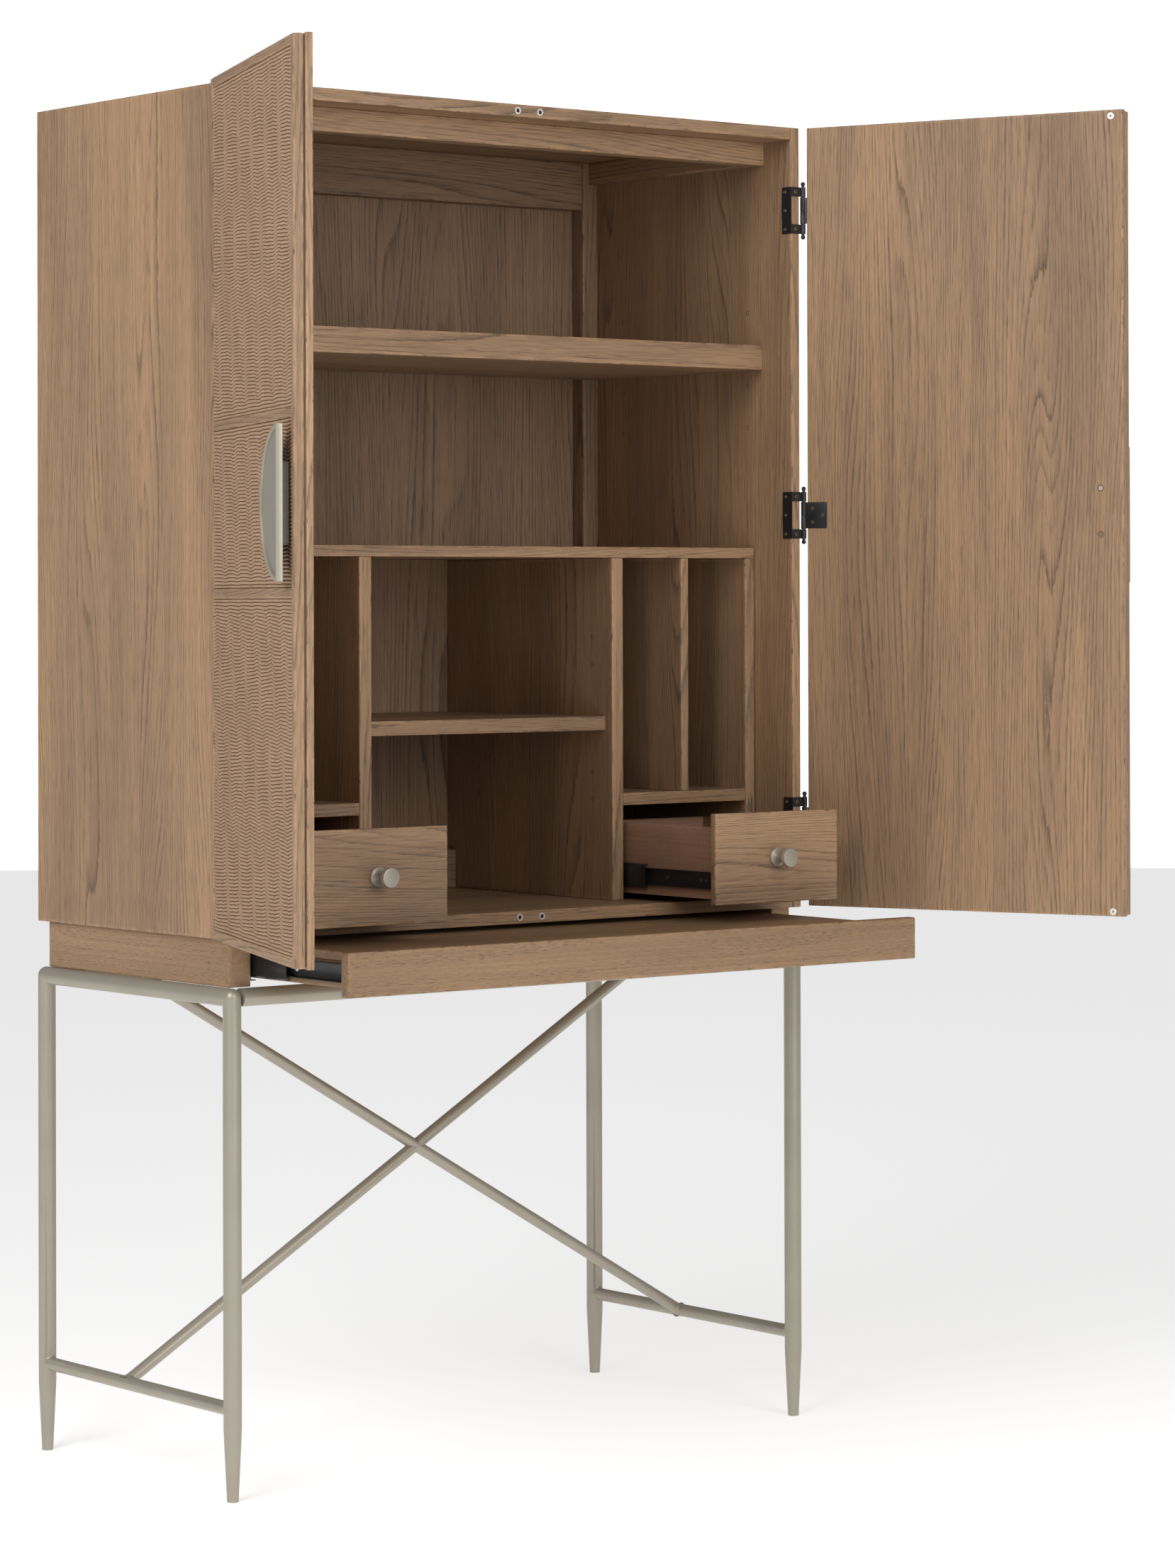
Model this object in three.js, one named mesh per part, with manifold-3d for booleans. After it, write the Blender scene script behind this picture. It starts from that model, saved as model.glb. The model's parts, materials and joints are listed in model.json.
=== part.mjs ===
// A secretary desk: an oak cabinet with two cane-fronted doors, a drawer-and-cubby organiser
// and a pull-out writing tray, on a welded tube stand. Millimetres, +Z up, front towards -Y.
// It stands as it is used: doors open, both drawers and the tray drawn out.
import * as THREE from 'three';
import { mergeVertices } from 'three/addons/utils/BufferGeometryUtils.js';
import Module from 'manifold-3d';

const wasm = await Module();
wasm.setup();

// ---- driving dimensions -------------------------------------------------------------------
const clearance = 0.3; // between pieces that touch
const cutOver = 1; // how far a cutting shape runs past the face it opens, or a joined one into its neighbour
const arcSegments = 28; // in the handle's half circle
const originShift = 240.7; // from the cabinet's middle to the middle of the open desk's footprint

const cabinet = { width: 1025, depth: 502, bottom: 763, top: 1933, side: 16, panel: 18 };
const backing = { panel: 9.7, stile: 30, stileDepth: 27, topRail: 75, bottomRail: 60, bottomRailDepth: 20 };
const header = { setBack: 61, height: 34, depth: 30 };
const upperShelf = { setBack: 65.5, top: 1609, thickness: 37 };
const organiser = {
  setBack: 85, top: 1303, topThickness: 16, end: 18, endGap: 2, partition: 21, partitionCentre: 228.5,
  shelfTop: 1053, shelfThickness: 21, shelfSetBack: 100, floorTop: 939, floorThickness: 18,
  divider: 14,
};
const door = {
  openAngle: 112, gap: 2, pinOut: 6, width: 511, bottom: 765, top: 1933,
  slab: 9.5, groove: 2, grooveInset: 4, face: 14, faceInset: 1.5, border: 13, chamfer: 1.6,
  caneDepth: 4, railWidth: 13.5, railOffset: 113,
};
const handle = { centre: 1347, radius: 98.5, edge: 502, thickness: 5.5, rim: 3, rimWidth: 6, standOff: 12 };
const handleBlock = { centre: 476, width: 22, height: 104 };
const hinge = {
  heights: { top: 1809, middle: 1351, bottom: 893 }, length: 70, tab: 14, leaf: 1.2,
  leafDepth: 19, knuckle: 4, pin: 2.4, pinLength: 80, tip: 3.4,
};
const drawer = {
  out: 209, bottom: 783.5, height: 132, front: 11, sideGap: 1.5, boxBottom: 791, boxHeight: 104,
  boxDepth: 280, wall: 12, floor: 6, slideGap: 12.9, slideCentre: 818, slideLength: 250, slideSetBack: 2,
  runnerShare: 0.27,
};
const knob = { radius: 14, neck: 6, length: 31 };
const tray = {
  out: 262, top: 756, board: 12, depth: 405, fasciaTop: 762, fasciaHeight: 59.5, fascia: 16,
  fasciaWidth: 1010, fasciaGap: 1, sideBoard: 12, sideBottom: 708, slideCentre: 728, slideLength: 350,
  slideSetBack: 1.5, runnerShare: 0.31,
};
const slide = {
  outer: 45.4, middle: 35, inner: 25, sheet: 1.2, width: 12.7,
  outerLip: 9.5, middleWeb: 3.5, middleLip: 10.5, innerLip: 6, // measured from the wall the slide is fixed to
};
const plinth = { width: 1010, depth: 465, bottom: 697.5, side: 35, back: 18 };
const stand = {
  tube: 25.4, legX: 505, legY: 239, footTube: 16, taper: 100, stretcherHeight: 125,
  stretcherTube: 19, braceTube: 17, braceY: 29.7, braceTopX: 478, sides: 24,
};

// ---- places worked out from them ----------------------------------------------------------
const frontY = -cabinet.depth / 2;
const backY = cabinet.depth / 2;
const innerX = cabinet.width / 2 - cabinet.side;
const panelX = innerX - clearance;
const floorZ = cabinet.bottom + cabinet.panel + clearance;
const ceilingZ = cabinet.top - cabinet.panel - clearance;
const backPanelY = backY - backing.panel - clearance;
const stileY = backPanelY - clearance - backing.stileDepth;
const bottomRailY = backPanelY - clearance - backing.bottomRailDepth;
const organiserY = frontY + organiser.setBack;
const organiserBackY = stileY - clearance;
const partitionInner = organiser.partitionCentre - organiser.partition / 2;
const partitionOuter = organiser.partitionCentre + organiser.partition / 2;
const endOuter = innerX - organiser.endGap;
const endInner = endOuter - organiser.end;
const bayCentre = (partitionOuter + endInner) / 2;
const pinX = cabinet.width / 2 + door.pinOut;
const pinY = frontY - door.gap;
const railRadius = stand.tube / 2;
const railZ = plinth.bottom - clearance - railRadius;

const desk = new THREE.Group();

// ---- finishes -----------------------------------------------------------------------------
const finishes = {
  oak: { color: 0x94775a, roughness: 0.62, metalness: 0 },
  oakDark: { color: 0x4c3a2a, roughness: 0.68, metalness: 0 },
  walnut: { color: 0x95775a, roughness: 0.58, metalness: 0 },
  redwood: { color: 0x6b4a3a, roughness: 0.55, metalness: 0 },
  champagne: { color: 0xa8a08d, roughness: 0.34, metalness: 0.9 },
  blackSteel: { color: 0x17191a, roughness: 0.42, metalness: 0.7 },
};

function addPiece(name, geometry, finish, parent = desk) {
  const mesh = new THREE.Mesh(geometry, new THREE.MeshStandardMaterial(finishes[finish]));
  mesh.name = name;
  parent.add(mesh);
  return mesh;
}

// ---- shape helpers ------------------------------------------------------------------------
function toSolid(geometry) {
  const bare = geometry.clone();
  bare.deleteAttribute('normal');
  bare.deleteAttribute('uv');
  const merged = mergeVertices(bare, 1e-4);
  return new wasm.Manifold(new wasm.Mesh({
    numProp: 3,
    vertProperties: new Float32Array(merged.attributes.position.array),
    triVerts: new Uint32Array(merged.index.array),
  }));
}

function toGeometry(solid) {
  const mesh = solid.getMesh();
  const geometry = new THREE.BufferGeometry();
  geometry.setAttribute('position', new THREE.BufferAttribute(new Float32Array(mesh.vertProperties), 3));
  geometry.setIndex(new THREE.BufferAttribute(new Uint32Array(mesh.triVerts), 1));
  return geometry;
}

function join(...shapes) {
  return toGeometry(shapes.map(toSolid).reduce((whole, shape) => whole.add(shape)));
}

function cut(shape, ...tools) {
  return toGeometry(tools.map(toSolid).reduce((rest, tool) => rest.subtract(tool), toSolid(shape)));
}

// a box given by its lowest and highest x, y and z
function block([x0, x1], [y0, y1], [z0, z1]) {
  const box = new THREE.BoxGeometry(x1 - x0, y1 - y0, z1 - z0);
  return box.translate((x0 + x1) / 2, (y0 + y1) / 2, (z0 + z1) / 2);
}

// a range of x mirrored to the other side of the desk when side is -1
function sideRange(side, from, to) {
  return side > 0 ? [from, to] : [-to, -from];
}

function outline(points) {
  return new THREE.Shape(points.map(([u, v]) => new THREE.Vector2(u, v)));
}

// an outline in x and y, raised from z0 to z1
function plate(shape, z0, z1, curveSegments = 12) {
  const raised = new THREE.ExtrudeGeometry(shape, { depth: z1 - z0, bevelEnabled: false, curveSegments });
  return raised.translate(0, 0, z0);
}

// an outline in x and z, run from y0 to y1
function channel(points, y0, y1) {
  const run = new THREE.ExtrudeGeometry(outline(points), { depth: y1 - y0, bevelEnabled: false });
  return run.rotateX(Math.PI / 2).translate(0, y1, 0);
}

function rod(from, to, radius, sides = stand.sides) {
  const start = new THREE.Vector3(...from);
  const along = new THREE.Vector3(...to).sub(start);
  const tube = new THREE.CylinderGeometry(radius, radius, along.length(), sides);
  tube.applyQuaternion(new THREE.Quaternion().setFromUnitVectors(
    new THREE.Vector3(0, 1, 0), along.clone().normalize(),
  ));
  const middle = start.add(along.multiplyScalar(0.5));
  return tube.translate(middle.x, middle.y, middle.z);
}

// a turned piece about +Z, its profile running from the axis back to the axis
function turned(profile, sides) {
  const points = profile.map(([radius, height]) => new THREE.Vector2(radius, height));
  return new THREE.LatheGeometry(points, sides).rotateX(Math.PI / 2);
}

// ---- stand --------------------------------------------------------------------------------
function leg(x, y) {
  const foot = stand.footTube / 2;
  const profile = [[0, 0], [foot, 0], [railRadius, stand.taper], [railRadius, railZ], [0, railZ]];
  return turned(profile, stand.sides).translate(x, y, 0);
}

function corner(x, y) {
  return new THREE.SphereGeometry(railRadius, stand.sides, 12).rotateX(Math.PI / 2).translate(x, y, railZ);
}

function endFrame(side) {
  const x = side * stand.legX;
  const front = -stand.legY;
  const back = stand.legY;
  return join(
    leg(x, front),
    leg(x, back),
    corner(x, front),
    corner(x, back),
    rod([x, front, railZ], [x, back, railZ], railRadius),
    rod([x, front, stand.stretcherHeight], [x, back, stand.stretcherHeight], stand.stretcherTube / 2),
  );
}

function crossRail(y) {
  const reach = stand.legX - railRadius - clearance;
  return rod([-reach, y, railZ], [reach, y, railZ], railRadius);
}

// The cross brace stands a little behind the middle and ends under the plinth, just inside the rails.
function addBraces() {
  const { braceY, legX, braceTopX, stretcherHeight } = stand;
  const topAt = (side) => [side * braceTopX, braceY, plinth.bottom];
  const stretcherAt = (side) => [side * legX, braceY, stretcherHeight];
  const share = legX / (legX + braceTopX);
  const crossing = [0, braceY, stretcherHeight + (plinth.bottom - stretcherHeight) * share];
  const radius = stand.braceTube / 2;
  const overrun = 0.03; // each tube runs on by this share, then is cut level under the plinth
  const beyond = (from, to) => to.map((value, i) => value + (value - from[i]) * overrun);
  const reach = legX + 2 * stand.tube;
  const abovePlinthEdge = block(
    [-reach, reach], [-stand.legY, stand.legY], [plinth.bottom - clearance, cabinet.bottom],
  );
  const stretcher = (side) => rod(
    [side * legX, braceY - stand.tube, stretcherHeight], [side * legX, braceY + stand.tube, stretcherHeight],
    stand.stretcherTube / 2 + clearance,
  );
  const long = rod(stretcherAt(1), beyond(stretcherAt(1), topAt(-1)), radius);
  const longPath = rod(stretcherAt(1), beyond(stretcherAt(1), topAt(-1)), radius + clearance);
  const upper = rod(crossing, beyond(crossing, topAt(1)), radius);
  const lower = rod(stretcherAt(-1), crossing, radius);
  addPiece('brace_long', cut(long, abovePlinthEdge, stretcher(1)), 'champagne');
  addPiece('brace_upper_half', cut(upper, longPath, abovePlinthEdge), 'champagne');
  addPiece('brace_lower_half', cut(lower, longPath, stretcher(-1)), 'champagne');
}

function addStand() {
  addPiece('end_frame_left', endFrame(-1), 'champagne');
  addPiece('end_frame_right', endFrame(1), 'champagne');
  addPiece('stand_rail_front', crossRail(-stand.legY), 'champagne');
  addPiece('stand_rail_back', crossRail(stand.legY), 'champagne');
  addBraces();
}

// ---- plinth -------------------------------------------------------------------------------
function addPlinth() {
  const z = [plinth.bottom, cabinet.bottom - clearance];
  const outer = plinth.width / 2;
  const y = [-plinth.depth / 2, plinth.depth / 2];
  for (const [word, side] of [['left', -1], ['right', 1]]) {
    addPiece(`plinth_side_${word}`, block(sideRange(side, outer - plinth.side, outer), y, z), 'walnut');
  }
  const reach = outer - plinth.side - clearance;
  addPiece('plinth_back', block([-reach, reach], [y[1] - plinth.back, y[1]], z), 'walnut');
}

// ---- drawer and tray slides ---------------------------------------------------------------
// a C of folded sheet, its web at x0 and its lips reaching to x1
function slideMember(x0, x1, height, centre, y0, y1) {
  const half = height / 2;
  const turn = Math.sign(x1 - x0) * slide.sheet;
  const inside = half - slide.sheet;
  const points = [
    [x0, -half], [x1, -half], [x1, -inside], [x0 + turn, -inside],
    [x0 + turn, inside], [x1, inside], [x1, half], [x0, half],
  ].map(([x, z]) => [x, z + centre]);
  const wound = x1 > x0 ? points : points.reverse();
  return channel(wound, y0, y1);
}

// ---- writing tray -------------------------------------------------------------------------
function addTray() {
  const move = new THREE.Group();
  move.position.y = -tray.out;
  desk.add(move);

  const fasciaBack = -plinth.depth / 2 - tray.fasciaGap;
  const fasciaX = tray.fasciaWidth / 2;
  const boardX = plinth.width / 2 - plinth.side - slide.width - 2 * clearance;
  const boardY = [fasciaBack + clearance, fasciaBack + clearance + tray.depth];
  addPiece('tray_fascia', block(
    [-fasciaX, fasciaX], [fasciaBack - tray.fascia, fasciaBack],
    [tray.fasciaTop - tray.fasciaHeight, tray.fasciaTop],
  ), 'walnut', move);
  addPiece('tray_board', block([-boardX, boardX], boardY, [tray.top - tray.board, tray.top]), 'oak', move);

  const runners = new THREE.Group();
  runners.position.y = -tray.out * tray.runnerShare;
  desk.add(runners);

  const slideFront = -plinth.depth / 2 + tray.slideSetBack;
  const slideY = [slideFront, slideFront + tray.slideLength];
  for (const [word, side] of [['left', -1], ['right', 1]]) {
    const wall = plinth.width / 2 - plinth.side - clearance;
    const member = (web, lip, height) => slideMember(
      side * (wall - web), side * (wall - lip), height, tray.slideCentre, ...slideY,
    );
    addPiece(`tray_side_${word}`, block(
      sideRange(side, boardX - tray.sideBoard, boardX), boardY,
      [tray.sideBottom, tray.top - tray.board - clearance],
    ), 'walnut', move);
    addPiece(`tray_slide_outer_${word}`, member(0, slide.outerLip, slide.outer), 'blackSteel');
    addPiece(`tray_slide_middle_${word}`, member(
      slide.middleWeb, slide.middleLip, slide.middle,
    ), 'blackSteel', runners);
    addPiece(`tray_slide_inner_${word}`, member(
      slide.width, slide.innerLip, slide.inner,
    ), 'blackSteel', move);
  }
}

// ---- cabinet ------------------------------------------------------------------------------
function addCabinet() {
  for (const [word, side] of [['left', -1], ['right', 1]]) {
    addPiece(`side_panel_${word}`, block(
      sideRange(side, innerX, cabinet.width / 2), [frontY, backY], [cabinet.bottom, cabinet.top],
    ), 'oak');
  }
  addPiece('top_panel', block(
    [-panelX, panelX], [frontY, backY], [cabinet.top - cabinet.panel, cabinet.top],
  ), 'oak');
  addPiece('bottom_panel', block(
    [-panelX, panelX], [frontY, backY], [cabinet.bottom, cabinet.bottom + cabinet.panel],
  ), 'oak');
  addPiece('back_panel', block([-panelX, panelX], [backPanelY, backY], [floorZ, ceilingZ]), 'oakDark');

  const stileInner = panelX - backing.stile;
  const frameBack = backPanelY - clearance;
  const rise = [floorZ, ceilingZ];
  const across = [-stileInner - cutOver, stileInner + cutOver];
  addPiece('back_frame', join(
    block([-panelX, -stileInner], [stileY, frameBack], rise),
    block([stileInner, panelX], [stileY, frameBack], rise),
    block(across, [stileY, frameBack], [ceilingZ - backing.topRail, ceilingZ]),
    block(across, [bottomRailY, frameBack], [floorZ, floorZ + backing.bottomRail]),
  ), 'oakDark');

  const headerY = frontY + header.setBack;
  addPiece('header_rail', block(
    [-panelX, panelX], [headerY, headerY + header.depth], [ceilingZ - header.height, ceilingZ],
  ), 'oak');
  addPiece('upper_shelf', block(
    [-panelX, panelX], [frontY + upperShelf.setBack, organiserBackY],
    [upperShelf.top - upperShelf.thickness, upperShelf.top],
  ), 'oak');
}

// ---- organiser ----------------------------------------------------------------------------
function organiserTop() {
  const notchX = panelX - backing.stile - clearance;
  const back = backPanelY - 2 * clearance;
  return plate(outline([
    [-endOuter, organiserY], [endOuter, organiserY], [endOuter, organiserBackY], [notchX, organiserBackY],
    [notchX, back], [-notchX, back], [-notchX, organiserBackY], [-endOuter, organiserBackY],
  ]), organiser.top - organiser.topThickness, organiser.top);
}

function addOrganiser() {
  const underTop = organiser.top - organiser.topThickness - clearance;
  const rise = [floorZ, underTop];
  const back = backPanelY - 2 * clearance;
  const floorBay = [partitionOuter + clearance, endInner - clearance];
  const cubbyFloorZ = [organiser.floorTop - organiser.floorThickness, organiser.floorTop];
  const railNotch = block([-innerX, innerX], [bottomRailY - clearance, backY], [floorZ - cutOver,
    floorZ + backing.bottomRail + clearance]);
  addPiece('organiser_top', organiserTop(), 'oak');
  for (const [word, side] of [['left', -1], ['right', 1]]) {
    addPiece(`organiser_end_${word}`, block(
      sideRange(side, endInner, endOuter), [organiserY, organiserBackY], rise,
    ), 'oak');
    addPiece(`partition_${word}`, cut(block(
      sideRange(side, partitionInner, partitionOuter), [organiserY, back], rise,
    ), railNotch), 'oak');
    addPiece(`cubby_floor_${word}`, block(
      sideRange(side, ...floorBay), [organiserY, organiserBackY], cubbyFloorZ,
    ), 'oak');
    addPiece(`cubby_divider_${word}`, block(
      sideRange(side, bayCentre - organiser.divider / 2, bayCentre + organiser.divider / 2),
      [organiserY, organiserBackY], [organiser.floorTop + clearance, underTop],
    ), 'oak');
  }
  const shelfX = partitionInner - clearance;
  addPiece('middle_shelf', block(
    [-shelfX, shelfX], [frontY + organiser.shelfSetBack, back],
    [organiser.shelfTop - organiser.shelfThickness, organiser.shelfTop],
  ), 'oak');
}

// ---- drawers ------------------------------------------------------------------------------
function knobShape() {
  const { radius, neck, length } = knob;
  return turned([
    [0, 0], [radius, 0], [radius, 2.5], [radius * 0.8, 4], [neck + 1.5, 9], [neck, 15], [neck + 1.5, 21],
    [radius * 0.93, 24.5], [radius, 26], [radius, length - 1.5], [radius - 1.5, length], [0, length],
  ], 24).rotateX(Math.PI / 2);
}

function drawerBox(x, y, z) {
  const inner = block(
    [x[0] + drawer.wall, x[1] - drawer.wall], [y[0] + drawer.wall, y[1] - drawer.wall],
    [z[0] + drawer.floor, z[1] + cutOver],
  );
  return cut(block(x, y, z), inner);
}

function addDrawer(word, side) {
  const move = new THREE.Group();
  move.position.y = -drawer.out;
  desk.add(move);

  const frontBack = organiserY + drawer.front;
  const frontX = sideRange(side, partitionOuter + drawer.sideGap, endInner - drawer.sideGap);
  const boxX = sideRange(side, partitionOuter + drawer.slideGap, endInner - drawer.slideGap);
  const boxY = [frontBack + clearance, frontBack + clearance + drawer.boxDepth];
  addPiece(`drawer_front_${word}`, block(
    frontX, [organiserY, frontBack], [drawer.bottom, drawer.bottom + drawer.height],
  ), 'oak', move);
  addPiece(`drawer_box_${word}`, drawerBox(
    boxX, boxY, [drawer.boxBottom, drawer.boxBottom + drawer.boxHeight],
  ), 'redwood', move);
  addPiece(`drawer_knob_${word}`, knobShape(), 'champagne', move).position.set(
    side * bayCentre, organiserY - clearance, drawer.bottom + drawer.height / 2,
  );

  const slideFront = frontBack + drawer.slideSetBack;
  const runners = new THREE.Group();
  runners.position.y = -drawer.out * drawer.runnerShare;
  desk.add(runners);
  for (const [place, wall, inward] of [['inner', partitionOuter, 1], ['outer', endInner, -1]]) {
    const web = side * (wall + inward * (clearance + slide.middleWeb));
    const lip = side * (wall + inward * (clearance + slide.middleLip));
    addPiece(`drawer_runner_${word}_${place}`, slideMember(
      web, lip, slide.middle, drawer.slideCentre, slideFront, slideFront + drawer.slideLength,
    ), 'blackSteel', runners);
  }
}

// ---- doors --------------------------------------------------------------------------------
// A door is made closed about its hinge pin, the pin at x = 0, y = 0, then turned open.
// side is 1 for the right door, whose panel runs towards -X from its pin.
function doorRange(side, from, to) {
  return sideRange(-side, from + door.pinOut, to + door.pinOut);
}

function doorSlab(side) {
  const { width, bottom, top, chamfer } = door;
  const x = doorRange(side, 0, width);
  const slab = plate(outline([
    [x[0], -door.slab], [x[1], -door.slab], [x[1], -chamfer], [x[1] - chamfer, 0],
    [x[0] + chamfer, 0], [x[0], -chamfer],
  ]), bottom, top);
  const core = block(
    [x[0] + door.grooveInset, x[1] - door.grooveInset], [-door.slab - door.groove, -door.slab + cutOver],
    [bottom + door.grooveInset, top - door.grooveInset],
  );
  return join(slab, core);
}

function doorFace(side) {
  const x = doorRange(side, door.faceInset, door.width - door.faceInset);
  const back = -door.slab - door.groove - clearance;
  const front = -door.slab - door.groove - door.face;
  const z = [door.bottom + door.faceInset, door.top - door.faceInset];
  const rails = [handle.centre - door.railOffset, handle.centre + door.railOffset];
  const half = door.railWidth / 2;
  const fields = [
    [z[0] + door.border, rails[0] - half],
    [rails[0] + half, rails[1] - half],
    [rails[1] + half, z[1] - door.border],
  ];
  const pockets = fields.map((rise) => block(
    [x[0] + door.border, x[1] - door.border], [front - cutOver, front + door.caneDepth], rise,
  ));
  return cut(block(x, [front, back], z), ...pockets);
}

function halfMoon(radius, edge, side, inset) {
  const shape = new THREE.Shape();
  const straight = edge - inset;
  const reach = Math.sqrt((radius - inset) ** 2 - inset ** 2);
  const swing = Math.asin(inset / (radius - inset));
  shape.moveTo(-side * straight, -reach);
  shape.absarc(-side * edge, 0, radius - inset, side > 0 ? -Math.PI / 2 + swing : -Math.PI / 2 - swing,
    side > 0 ? Math.PI / 2 - swing : Math.PI / 2 + swing, side < 0);
  shape.closePath();
  return shape;
}

function doorHandle(side) {
  const edge = door.pinOut + handle.edge;
  const back = -door.slab - door.groove - door.face - handle.standOff;
  const depth = handle.thickness + handle.rim;
  const whole = plate(halfMoon(handle.radius, edge, side, 0), 0, depth, arcSegments);
  const dish = plate(
    halfMoon(handle.radius, edge, side, handle.rimWidth), handle.thickness, depth + cutOver, arcSegments,
  );
  const moon = cut(whole, dish).rotateX(Math.PI / 2).translate(0, back, handle.centre);
  const mountStart = handleBlock.centre - handleBlock.width / 2;
  const mount = block(
    doorRange(side, mountStart, mountStart + handleBlock.width),
    [back - cutOver, back + handle.standOff - clearance],
    [handle.centre - handleBlock.height / 2, handle.centre + handleBlock.height / 2],
  );
  return join(moon, mount);
}

function addDoor(word, side) {
  const swing = new THREE.Group();
  swing.position.set(side * pinX, pinY, 0);
  swing.rotation.z = THREE.MathUtils.degToRad(side * door.openAngle);
  desk.add(swing);
  addPiece(`door_slab_${word}`, doorSlab(side), 'oak', swing);
  addPiece(`door_face_${word}`, doorFace(side), 'oak', swing);
  addPiece(`door_handle_${word}`, doorHandle(side), 'champagne', swing);
}

// ---- hinges -------------------------------------------------------------------------------
// the fixed half: a leaf on the side panel's inner face, two tabs round its front edge, two
// knuckles, and the ball-tipped pin
function hingeShape(side, height) {
  const { length, tab, leaf, leafDepth, knuckle, pin, pinLength, tip } = hinge;
  const low = height - length / 2;
  const high = height + length / 2;
  const leafX = [innerX - clearance - leaf, innerX - clearance];
  const tabY = [frontY - clearance - leaf, frontY - clearance];
  const place = (from, to) => sideRange(side, from, to);
  const ends = [[low, low + tab], [high - tab, high]];
  const tabs = ends.map((rise) => block(place(leafX[0], pinX), tabY, rise));
  const knuckles = ends.map(([z0, z1]) => rod([side * pinX, pinY, z0], [side * pinX, pinY, z1], knuckle, 20));
  const reach = pinLength / 2;
  const tips = [-reach, reach].map((dz) => (
    new THREE.SphereGeometry(tip, 16, 10).translate(side * pinX, pinY, height + dz)
  ));
  return join(
    block(place(...leafX), [tabY[0], frontY + leafDepth], [low, high]),
    ...tabs,
    ...knuckles,
    rod([side * pinX, pinY, height - reach], [side * pinX, pinY, height + reach], pin, 16),
    ...tips,
  );
}

function addHinges() {
  for (const [word, side] of [['left', -1], ['right', 1]]) {
    for (const [place, height] of Object.entries(hinge.heights)) {
      addPiece(`hinge_${word}_${place}`, hingeShape(side, height), 'blackSteel');
    }
  }
}

addStand();
addPlinth();
addTray();
addCabinet();
addOrganiser();
addDrawer('left', -1);
addDrawer('right', 1);
addDoor('left', -1);
addDoor('right', 1);
addHinges();
desk.position.y = originShift;

export default desk;
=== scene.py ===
import json
import math
import random

import bmesh
import bpy
from mathutils import Matrix, Vector


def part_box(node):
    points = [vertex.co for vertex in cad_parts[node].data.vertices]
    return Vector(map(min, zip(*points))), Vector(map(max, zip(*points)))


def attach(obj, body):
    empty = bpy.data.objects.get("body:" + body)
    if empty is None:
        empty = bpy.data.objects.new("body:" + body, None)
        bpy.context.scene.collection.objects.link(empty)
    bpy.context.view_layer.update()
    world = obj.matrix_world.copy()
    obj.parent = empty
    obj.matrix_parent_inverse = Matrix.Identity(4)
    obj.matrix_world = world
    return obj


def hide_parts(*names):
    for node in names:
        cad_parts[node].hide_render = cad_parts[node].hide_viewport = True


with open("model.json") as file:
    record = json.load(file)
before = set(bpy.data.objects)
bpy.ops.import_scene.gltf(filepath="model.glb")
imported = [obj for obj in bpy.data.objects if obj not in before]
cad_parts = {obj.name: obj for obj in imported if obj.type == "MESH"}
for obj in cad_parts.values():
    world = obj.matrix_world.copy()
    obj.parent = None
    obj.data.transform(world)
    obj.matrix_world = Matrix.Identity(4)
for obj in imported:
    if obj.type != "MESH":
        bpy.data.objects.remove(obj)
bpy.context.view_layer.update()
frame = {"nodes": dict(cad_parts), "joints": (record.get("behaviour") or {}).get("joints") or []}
sides = {"left": -1, "right": 1}
mm = 0.001
print("frame loaded")


# small node helpers
def addNode(tree, kind, inputs=None, **settings):
    node = tree.nodes.new(kind)
    for key, value in settings.items():
        setattr(node, key, value)
    for key, value in (inputs or {}).items():
        if isinstance(value, bpy.types.NodeSocket):
            tree.links.new(value, node.inputs[key])
        else:
            node.inputs[key].default_value = value
    return node


def calc(tree, operation, first, second=0.0, third=0.0):
    inputs = {0: first, 1: second, 2: third}
    return addNode(tree, "ShaderNodeMath", inputs, operation=operation).outputs[0]


def noise(tree, place, stretch, detail=2.0, roughness=0.5):
    spread = addNode(tree, "ShaderNodeVectorMath", {0: place, 1: stretch}, operation="MULTIPLY").outputs[0]
    values = {"Vector": spread, "Scale": 1.0, "Detail": detail, "Roughness": roughness}
    return addNode(tree, "ShaderNodeTexNoise", values).outputs["Fac"]


def remap(tree, value, low, high, toLow=0.0, toHigh=1.0):
    values = {"Value": value, "From Min": low, "From Max": high, "To Min": toLow, "To Max": toHigh}
    return addNode(tree, "ShaderNodeMapRange", values, interpolation_type="SMOOTHSTEP").outputs[0]


def blendColor(tree, amount, first, second, mode="MIX"):
    node = addNode(tree, "ShaderNodeMix", data_type="RGBA", blend_type=mode)
    for socket, value in ((node.inputs[0], amount), (node.inputs[6], first), (node.inputs[7], second)):
        if isinstance(value, bpy.types.NodeSocket):
            tree.links.new(value, socket)
        else:
            socket.default_value = value if isinstance(value, float) else (*value[:3], 1.0)
    return node.outputs[2]


def newGroup(name, inputs, outputs):
    tree = bpy.data.node_groups.new(name, "ShaderNodeTree")
    for label, kind, value in inputs:
        socket = tree.interface.new_socket(name=label, in_out="INPUT", socket_type=kind)
        if value is not None:
            socket.default_value = value
    for label, kind in outputs:
        tree.interface.new_socket(name=label, in_out="OUTPUT", socket_type=kind)
    return tree, tree.nodes.new("NodeGroupInput").outputs, tree.nodes.new("NodeGroupOutput").inputs


def newMaterial(name, shader):
    material = bpy.data.materials.new(name)
    material.use_nodes = True
    tree = material.node_tree
    principled = tree.nodes["Principled BSDF"]
    for key, value in shader.items():
        principled.inputs[key].default_value = value
    return material, tree, principled


def addBump(tree, principled, height, distance, strength):
    values = {"Height": height, "Distance": distance, "Strength": strength}
    bump = addNode(tree, "ShaderNodeBump", values)
    tree.links.new(bump.outputs[0], principled.inputs["Normal"])


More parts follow.
